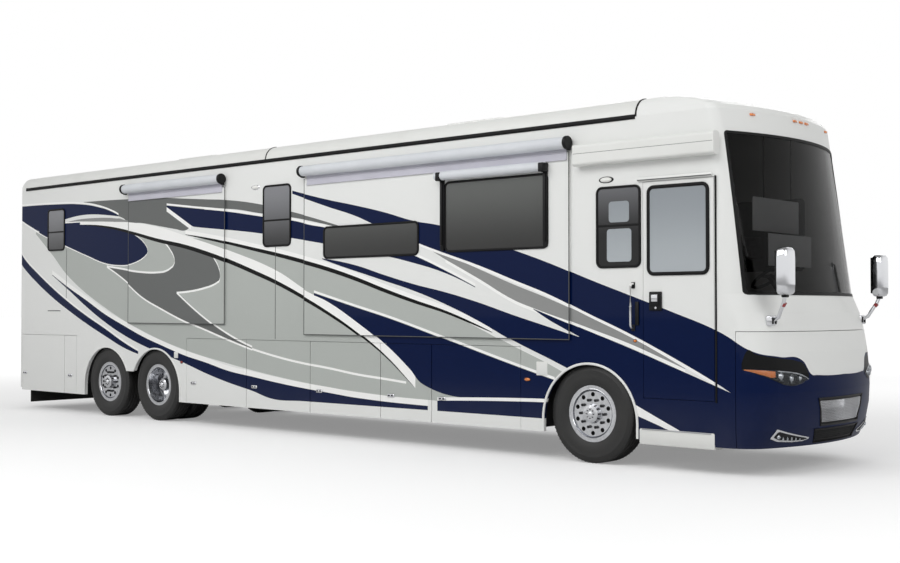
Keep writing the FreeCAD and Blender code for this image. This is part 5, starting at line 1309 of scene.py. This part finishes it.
# Edges run from the coach's side inward: distance in from REACH_FROM off the middle, and height.
REACH_FROM = 1.35
LAMP_TOP = ((0.075, 1.048), (0.17, 1.044), (0.29, 1.037), (0.42, 1.025), (0.54, 1.008), (0.63, 0.98),
            (0.68, 0.952))
LAMP_BOTTOM = ((0.075, 1.035), (0.13, 0.998), (0.24, 0.945), (0.36, 0.896), (0.47, 0.882),
               (0.58, 0.902), (0.68, 0.948))
TURN_TOP = ((0.078, 1.045), (0.16, 1.038), (0.26, 1.026))
TURN_BOTTOM = ((0.078, 1.036), (0.14, 1.0), (0.22, 0.968), (0.26, 0.972))
FOG_TOP = ((0.28, 0.395), (0.315, 0.470), (0.45, 0.434), (0.62, 0.398), (0.80, 0.366))
FOG_BOTTOM = ((0.28, 0.375), (0.37, 0.345), (0.56, 0.330), (0.72, 0.332), (0.80, 0.352))
FOG_INNER_TOP = ((0.31, 0.40), (0.34, 0.445), (0.45, 0.418), (0.62, 0.384), (0.76, 0.36))
FOG_INNER_BOTTOM = ((0.31, 0.385), (0.38, 0.36), (0.56, 0.345), (0.70, 0.344), (0.76, 0.352))
PROJECTORS = ((1.02, 0.978, 0.043), (0.895, 0.952, 0.043), (0.785, 0.955, 0.028))
clear_cover, tree = new_material("clear polycarbonate lamp cover")
shell(tree, {"Base Color": colour("#5A6066"), "Roughness": 0.03, "Alpha": 0.10, "Coat Weight": 0.3,
             "Normal": grain(tree, 300.0, 0.01)})
reflector = plain("vacuum-metallised lamp reflector", "#BFC3C8", 0.12, 6.0, 0.3, Metallic=1.0,
                  deeper=0.5, second="#5A5E64", cloud_scale=18.0)
nodes["front_lamps"].data.materials[0] = body_paint
BROW_TOP, BROW_BOTTOM = raised(LAMP_TOP[2:], -0.004), raised(LAMP_TOP[2:], -0.014)
LAMPS_BEHIND = (                  # name, top, bottom, finish, then laid_on_nose's own numbers
    ("headlamp_housing", LAMP_TOP, LAMP_BOTTOM, black_moulding, {"lift": 0.003}),
    ("headlamp_turn", TURN_TOP, TURN_BOTTOM, amber_lens,
     {"lift": 0.006, "crown": 0.004, "steps": 12, "rows": 4}),
)
LAMPS_OVER = (
    ("headlamp_strip", BROW_TOP, BROW_BOTTOM, reflector,
     {"lift": 0.008, "crown": 0.002, "steps": 20, "rows": 2}),
    ("headlamp_cover", LAMP_TOP, LAMP_BOTTOM, clear_cover,
     {"lift": 0.020, "crown": 0.008, "depth": 0.003}),
    ("fog_lamp_frame", FOG_TOP, FOG_BOTTOM, chrome, {"lift": 0.008, "crown": 0.003}),
    ("fog_lamp_inner", FOG_INNER_TOP, FOG_INNER_BOTTOM, black_moulding,
     {"lift": 0.013, "steps": 20, "rows": 3}),
)
LED_COUNT, LED_FIRST, LED_PITCH, LED_WIDTH, LED_LIFT = 5, 0.925, 0.055, 0.022, 0.014


def lay_lamps(layers, side):
    """Lay one side's row of lamp patches on the nose."""
    for name, top, bottom, finish, numbers in layers:
        patch = laid_on_nose(top, bottom, side, **numbers)
        piece(f"{name}_{HAND[side]}", patch, finish, "front_mask", 40.0)


for side in (KERB, DRIVER):
    hand = HAND[side]
    lay_lamps(LAMPS_BEHIND, side)
    mesh = bmesh.new()
    for y, z, radius in PROJECTORS:
        round_lamp(mesh, side * y, z, radius, 0.006)
    piece(f"headlamp_projectors_{hand}", mesh, reflector, "front_mask", 40.0)
    lay_lamps(LAMPS_OVER, side)
    mesh = bmesh.new()
    round_lamp(mesh, side * 0.985, 0.393, 0.024, LED_LIFT, 0.008)
    for number in range(LED_COUNT):
        y = side * (LED_FIRST - LED_PITCH * number)
        x = nose_at(y, 0.37) + LED_LIFT
        bmesh.ops.create_cube(mesh, size=1.0)
        for vert in mesh.verts[-8:]:
            vert.co = Vector((x + vert.co.x * 0.008, y + vert.co.y * LED_WIDTH,
                              0.378 - 0.006 * number + vert.co.z * (0.040 - 0.005 * number)))
    piece(f"fog_lamp_leds_{hand}", mesh, reflector, "front_mask", 40.0)

# %% [markdown]
# The grille is an expanded-metal mesh. Geometry Nodes makes it: a grid laid on the nose is cut
# to triangles, its dual is a sheet of hexagons, and each hexagon's edges become fine wire.

# %% Grille mesh in Geometry Nodes
def mesh_tree():
    """Wires along the hexagons of a triangulated sheet."""
    tree, given = open_group("expanded metal mesh", (("Wire", "Float"),))
    cut = add(tree, "GeometryNodeTriangulate", {"Mesh": given["Geometry"]})
    cells = add(tree, "GeometryNodeDualMesh", {"Mesh": cut.outputs[0]})
    lines = add(tree, "GeometryNodeMeshToCurve", {"Mesh": cells.outputs[0]})
    section = add(tree, "GeometryNodeCurvePrimitiveCircle", {"Radius": given["Wire"], "Resolution": 4})
    wires = add(tree, "GeometryNodeCurveToMesh", {"Curve": lines.outputs[0],
                                                  "Profile Curve": section.outputs[0]})
    return close_group(tree, wires.outputs[0], given["Finish"])


def sheet_on_nose(half_top, half_bottom, low, high, cell, lift):
    """A grid of points on the nose between two widths and two heights."""
    rows = max(2, round((high - low) / cell))
    columns = round(2 * half_top / cell)
    spots, faces = [], []
    for j in range(rows + 1):
        z = low + (high - low) * j / rows
        half = half_bottom + (half_top - half_bottom) * j / rows
        for i in range(columns + 1):
            y = -half + 2 * half * i / columns
            spots.append((nose_at(y, z) + lift, y, z))
    for j in range(rows):
        for i in range(columns):
            a = j * (columns + 1) + i
            faces.append((a, a + 1, a + columns + 2, a + columns + 1))
    sheet_mesh = bpy.data.meshes.new("nose sheet")
    sheet_mesh.from_pydata(spots, [], faces)
    return sheet_mesh


mesh_nodes = mesh_tree()
grille_wire = plain("stainless grille mesh", "#C8C9CC", 0.28, 2.0, 0.1, Metallic=0.85, second="#8E9094")
dark_wire = plain("black powder-coated mesh", "#17181A", 0.5, 2.0, 0.1, second="#232425")
nodes["front_grille"].data.materials[0] = black_moulding
data = grown(mesh_nodes, sheet_on_nose(0.475, 0.40, 0.502, 0.725, 0.0165, 0.006), wire=0.0027,
             finish=grille_wire)
seat("grille_mesh", data, grille_wire, "front_mask", 60.0)
data = grown(mesh_nodes, sheet_on_nose(0.47, 0.42, 0.325, 0.425, 0.022, 0.004), wire=0.0022,
             finish=dark_wire)
seat("intake_mesh", data, dark_wire, "front_mask", 60.0)

GRILLE_FRAME = (("grille_frame", 0.508, 0.425, 0.470, 0.752, 0.024, black_moulding),
                ("intake_frame", 0.505, 0.440, 0.300, 0.446, 0.014, black_moulding))
for name, half_top, half_bottom, low, high, width, finish in GRILLE_FRAME:
    mesh = bmesh.new()
    loop = []
    for k in range(25):
        loop.append((-half_bottom + 2 * half_bottom * k / 24, low, 0, 1))
    for k in range(1, 9):
        loop.append((half_bottom + (half_top - half_bottom) * k / 8, low + (high - low) * k / 8, -1, 0))
    for k in range(1, 25):
        loop.append((half_top - 2 * half_top * k / 24, high, 0, -1))
    for k in range(1, 8):
        loop.append((-half_top + (half_top - half_bottom) * k / 8, high - (high - low) * k / 8, 1, 0))
    rings = []
    for y, z, in_y, in_z in loop:
        ring = []
        for spread, proud in ((0.0, 0.0), (0.0, 0.008), (width * 0.3, 0.013), (width * 0.8, 0.010),
                              (width, 0.0)):
            yy, zz = y + in_y * spread, z + in_z * spread
            ring.append(mesh.verts.new((nose_at(yy, zz) + proud, yy, zz)))
        rings.append(ring)
    join_rings(mesh, rings + rings[:1])
    piece(name, mesh, finish, "front_mask", 40.0)
print("grille faces:", len(data.polygons))

# %% [markdown]
# The mirrors stand on chrome arms below the windshield. Each head is a tall rounded moulding
# with a bright shell, and a dark glass set in the face that looks back at the driver.

# %% Mirrors
mirror_glass = plain("mirror glass", "#20262B", 0.03, 60.0, 0.01, Metallic=0.9, deeper=0.2,
                     second="#4A545C")
HEAD_X, HEAD_Y, HEAD_LOW, HEAD_HIGH = 2.140, 1.105, 1.760, 2.215
HEAD_HALF = (0.066, 0.115)
HEAD_PROFILE = (                  # height, and the share of the full size that the shell has there
    (HEAD_LOW, 0.55), (HEAD_LOW + 0.010, 0.80), (HEAD_LOW + 0.035, 0.96), (HEAD_LOW + 0.10, 1.0),
    (HEAD_HIGH - 0.10, 1.0), (HEAD_HIGH - 0.035, 0.95), (HEAD_HIGH - 0.010, 0.76), (HEAD_HIGH, 0.45))
BULGE_AHEAD, BULGE_BEHIND = 1.15, 0.75
GLASS_HALF, BEZEL_HALF, NECK_HALF = 0.092, 0.100, 0.035
for side in (KERB, DRIVER):
    hand = HAND[side]
    mesh = bmesh.new()
    rings = []
    for z, share in HEAD_PROFILE:
        ring = []
        for t in angles(32):
            c, s = math.cos(t), math.sin(t)
            bulge = BULGE_AHEAD if c > 0 else BULGE_BEHIND
            x = HEAD_X + HEAD_HALF[0] * share * bulge * math.copysign(abs(c) ** 0.6, c)
            y = HEAD_Y + HEAD_HALF[1] * share * math.copysign(abs(s) ** 0.5, s)
            ring.append(mesh.verts.new(at(x, side * y, z)))
        rings.append(ring)
    capped(mesh, rings)
    head = piece(f"mirror_head_{hand}", mesh, chrome, "root", 50.0)
    if side == KERB:
        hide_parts("mirrors")
    mesh = bmesh.new()
    ys = span(side, HEAD_Y - GLASS_HALF, HEAD_Y + GLASS_HALF)
    block(mesh, (HEAD_X - 0.057, HEAD_X - 0.047), ys, (HEAD_LOW + 0.045, HEAD_HIGH - 0.045), 0.004)
    piece(f"mirror_glass_{hand}", mesh, mirror_glass, "root", 40.0)
    mesh = bmesh.new()
    ys = span(side, HEAD_Y - BEZEL_HALF, HEAD_Y + BEZEL_HALF)
    block(mesh, (HEAD_X - 0.054, HEAD_X - 0.040), ys, (HEAD_LOW + 0.035, HEAD_HIGH - 0.035), 0.004)
    block(mesh, (HEAD_X - 0.02, HEAD_X + 0.03), span(side, HEAD_Y - NECK_HALF, HEAD_Y + NECK_HALF),
          (HEAD_LOW - 0.025, HEAD_LOW + 0.012), 0.008)
    piece(f"mirror_bezel_{hand}", mesh, black_moulding, "root", 40.0)
    foot_x = nose_at(side * 1.04, 1.515) - AXLE_X
    mesh = bmesh.new()
    tube(mesh, [at(foot_x + 0.01, side * 1.03, 1.515), at(foot_x + 0.075, side * 1.035, 1.545),
                at(HEAD_X - 0.02, side * 1.085, 1.690), at(HEAD_X, side * 1.10, 1.745)], 0.019, 16)
    piece(f"mirror_arm_{hand}", mesh, chrome, "root", 50.0)
    mesh = bmesh.new()
    ys = span(side, 0.955, 1.105)
    block(mesh, (foot_x - 0.03, foot_x + 0.030), ys, (1.462, 1.562), 0.014)
    piece(f"mirror_foot_{hand}", mesh, chrome, "root", 50.0)
    mesh = bmesh.new()
    for low_z, y in ((1.480, 0.985), (1.480, 1.045)):
        block(mesh, (foot_x + 0.024, foot_x + 0.034), span(side, y, y + 0.035),
              (low_z, low_z + 0.062), 0.004)
    piece(f"mirror_foot_caps_{hand}", mesh, black_moulding, "root", 50.0)
    mesh = bmesh.new()
    tube(mesh, [at(HEAD_X - 0.035, side * 1.070, 1.655), at(HEAD_X - 0.012, side * 1.078, 1.685)],
         0.0225, 16)
    piece(f"mirror_reflector_{hand}", mesh, red_lens, "root", 50.0)

# Five clearance lamps stand on the brow.
mesh = bmesh.new()
for y in (-0.82, -0.13, 0.0, 0.13, 0.82):
    z = 3.56
    x = nose_at(y, z) - AXLE_X
    block(mesh, (x - 0.03, x + 0.016), (y - 0.038, y + 0.038), (z - 0.012, z + 0.014), 0.006)
piece("brow_clearance_lamps", mesh, amber_lens, "root", 40.0)

# %% [markdown]
# Two captain's chairs stand behind the windshield. Each cushion is a crowned form: its sides
# pull in between the corners, a seam runs round it, and sewn channels cross the leather.

# %% Cab seats
def cushion(name, start, end, half_width, thick, channels, stands_for=None, side=1, pull=0.05):
    """A stuffed pad along a line in the seat's side view, sewn in channels across its length."""
    mesh = bmesh.new()
    run, rise = end[0] - start[0], end[1] - start[1]
    length = math.hypot(run, rise)
    along, out = (run / length, rise / length), (-rise / length, run / length)
    steps, sides = 44, 48
    rings = []
    for i in range(steps + 1):
        u = -1 + 2 * i / steps
        ends = (1 - abs(u) ** 5) ** 0.32 if abs(u) < 1 else 0.0
        channel = 1 - 0.10 * max(0.0, math.cos(math.pi * channels * (u + 1))) ** 14
        ring = []
        for t in angles(sides):
            c, s = math.cos(t), math.sin(t)
            wide = half_width * (1 - pull * (1 - u * u)) * (0.86 + 0.14 * ends)
            y = wide * math.copysign(abs(c) ** 0.42, c)
            crown = 1 - 0.28 * (y / half_width) ** 2
            h = thick / 2 * ends * channel * crown * math.copysign(abs(s) ** 0.55, s)
            seam = 0.006 if abs(s) < 0.07 else 0.0
            y += math.copysign(seam, y)
            w = u * length / 2
            px = (start[0] + end[0]) / 2 + along[0] * w + out[0] * h
            pz = (start[1] + end[1]) / 2 + along[1] * w + out[1] * h
            ring.append(mesh.verts.new(at(SEAT_X + px, side * SEAT_Y + y, SEAT_FLOOR + pz)))
        rings.append(ring)
    capped(mesh, rings)
    pad = piece(name, mesh, cream_leather, "root", 60.0)
    if stands_for:
        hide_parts(stands_for)


SEAT_X, SEAT_Y, SEAT_FLOOR = 0.560, 0.560, 1.250
SEAT_PADS = (                     # name, start and end seen from the side, half width, thickness, channels
    ("seat_cushion", (-0.20, 0.310), (0.285, 0.318), 0.222, 0.135, 4),
    ("seat_back", (-0.222, 0.37), (-0.352, 0.985), 0.218, 0.115, 5),
    ("seat_headrest", (-0.356, 0.985), (-0.390, 1.165), 0.150, 0.105, 1),
)
SEAT_BASE = (                     # rear and front, half width, low and high, edge
    ((-0.17, 0.17), 0.17, (0.0, 0.03), 0.008),
    ((-0.11, 0.11), 0.11, (0.02, 0.22), 0.03),
    ((-0.19, 0.25), 0.20, (0.215, 0.255), 0.012),
)
ARM_REST = ((-0.245, 0.47), (-0.20, 0.515), (0.14, 0.525), (0.19, 0.505))
ARM_OUT, ARM_RADIUS = 0.243, 0.024
for side in (KERB, DRIVER):
    hand = HAND[side]
    for name, start, end, half_width, thick, channels in SEAT_PADS:
        stands_for = "cab_seats" if side == KERB and name == "seat_cushion" else None
        cushion(f"{name}_{hand}", start, end, half_width, thick, channels, stands_for, side)
    mesh = bmesh.new()
    y = side * SEAT_Y
    for (rear, front), half, (low, high), edge_size in SEAT_BASE:
        block(mesh, (SEAT_X + rear, SEAT_X + front), (y - half, y + half),
              (SEAT_FLOOR + low, SEAT_FLOOR + high), edge_size)
    for arm in (-ARM_OUT, ARM_OUT):
        tube(mesh, [at(SEAT_X + x, y + arm, SEAT_FLOOR + z) for x, z in ARM_REST], ARM_RADIUS, 14)
    piece(f"seat_base_{hand}", mesh, dash_moulding, "root", 40.0)

# %% Windshield seal and shade boards
# A flat rubber section runs round the glass. Behind it two pale shade boards hang from the header.
SCREEN_LOW, SCREEN_HIGH, SCREEN_HALF, SEAL_RADIUS = 1.765, 3.375, 1.200, 0.035
mesh = bmesh.new()
rings = []
for inset, proud in ((-0.004, -0.004), (-0.002, 0.006), (0.008, 0.009), (0.026, 0.007), (0.030, -0.004)):
    loop = rounded_loop((inset - SCREEN_HALF, SCREEN_HALF - inset),
                        (SCREEN_LOW + inset, SCREEN_HIGH - inset), SEAL_RADIUS - inset)
    ring = []
    for number, (y, z) in enumerate(loop):
        after_y, after_z = loop[(number + 1) % len(loop)]
        parts = 30 if number % 7 == 6 else 1
        for k in range(parts):
            yy, zz = y + (after_y - y) * k / parts, z + (after_z - z) * k / parts
            ring.append(mesh.verts.new((nose_at(yy, zz) + proud, yy, zz)))
    rings.append(ring)
join_rings(mesh, rings + rings[:1])
piece("windshield_seal", mesh, seal_rubber, "root", 40.0)

shade_board = plain("pale shade board", "#F4F5F6", 0.7, 40.0, 0.05, second="#BFC1C3")
mesh = bmesh.new()
for low_y, high_y, low_z, high_z in ((-0.80, 0.20, 2.41, 2.75), (-0.65, 0.30, 2.06, 2.385)):
    mid = (low_z + high_z) / 2
    back = min(nose_at(low_y, mid), nose_at(high_y, mid)) - AXLE_X - 0.16
    block(mesh, (back - 0.012, back), (low_y, high_y), (low_z, high_z), 0.005)
piece("shade_boards", mesh, shade_board, "root", 40.0)
mesh = bmesh.new()
for y in (-0.55, 0.05):
    back = min(nose_at(-0.80, 2.6), nose_at(0.30, 2.2)) - AXLE_X - 0.17
    tube(mesh, [at(back, y, 2.10), at(back, y, 3.50)], 0.007, 8)
piece("shade_board_rods", mesh, black_moulding, "root", 40.0)

# %% Step box and filler doors
slabs("entry_step_box", gelcoat, "root", 40.0,
      ((0.62, 1.49), (-1.292, -1.10), (0.248, 0.418), 0.022))
slabs("entry_step_strip", satin_metal, "root", 40.0,
      ((0.66, 1.45), (-1.298, -1.285), (0.402, 0.414), 0.003))
mesh = bmesh.new()
for x, z, half in ((-7.19, 0.97, 0.045), (-0.62, 0.98, 0.075)):
    block(mesh, (x - half, x + half), (-1.290, -1.275), (z - half, z + half), 0.008)
piece("filler_doors", mesh, gelcoat, "root", 40.0)

# %% [markdown]
# The tail is the engine's side: a louvred hatch with a handle, and round lamps in each column.
# The slats are one profile repeated by Geometry Nodes.

# %% Louvres in Geometry Nodes
def stack_tree():
    """Copies of a slat, one above another at an even pitch."""
    tree, given = open_group("stack of slats", (("Count", "Int"), ("Step", "Vector")))
    row = add(tree, "GeometryNodeMeshLine", {"Count": given["Count"], "Offset": given["Step"]})
    copies = add(tree, "GeometryNodeInstanceOnPoints", {"Points": row.outputs[0],
                                                        "Instance": given["Geometry"]})
    return close_group(tree, copies.outputs[0], given["Finish"])


stack_nodes = stack_tree()


def slats(name, along, across, up, count, step, finish, body, tilt=(0.0, 0.0)):
    """One block, sheared by tilt so that it sheds water, repeated count times."""
    mesh = bmesh.new()
    block(mesh, along, across, up, 0.002)
    middle = (along[0] + along[1]) / 2 + AXLE_X
    for vert in mesh.verts:
        vert.co.z += (vert.co.x - middle) * tilt[0]
        vert.co.x += (vert.co.y - (across[0] + across[1]) / 2) * tilt[1]
    slat = bpy.data.meshes.new(name)
    mesh.to_mesh(slat)
    mesh.free()
    data = grown(stack_nodes, slat, count=count, step=step, finish=finish)
    seat(name, data, finish, body, 40.0)


HATCH_HALF, TAIL_X = 0.62, -11.500
TAIL_LAMP_Y, TAIL_LAMP_HEIGHTS = 1.035, (0.93, 1.23, 1.45)
LAMP_RIM = ((0.088, 0.0), (0.088, 0.014), (0.078, 0.018), (0.070, 0.008), (0.070, 0.0))
slats("hatch_louvres", (-11.522, -11.498), (-HATCH_HALF, HATCH_HALF), (1.02, 1.032), 12,
      (0, 0, 0.044), black_moulding, "engine_hatch", (-0.8, 0.0))
for word, first in (("rear", -8.36), ("front", -2.76)):
    slats(f"roof_unit_slats_{word}", (first, first + 0.02), (-0.30, 0.30), (3.955, 3.962), 15,
          (0.05, 0, 0), dark_nut, "root")
mesh = bmesh.new()
tube(mesh, [at(-11.498, -0.11, 0.865), at(-11.530, -0.10, 0.865), at(-11.530, 0.10, 0.865),
            at(-11.498, 0.11, 0.865)], 0.011, 12)
piece("hatch_handle", mesh, satin_metal, "engine_hatch", 50.0)
for side in (KERB, DRIVER):
    hand = HAND[side]
    mesh = bmesh.new()
    for z in TAIL_LAMP_HEIGHTS:
        rings = []
        for radius, back in LAMP_RIM:
            rings.append([mesh.verts.new(at(TAIL_X - back, side * TAIL_LAMP_Y + radius * math.cos(a),
                                            z + radius * math.sin(a))) for a in angles(32)])
        join_rings(mesh, rings + rings[:1])
    piece(f"tail_lamp_rims_{hand}", mesh, chrome, "root", 50.0)
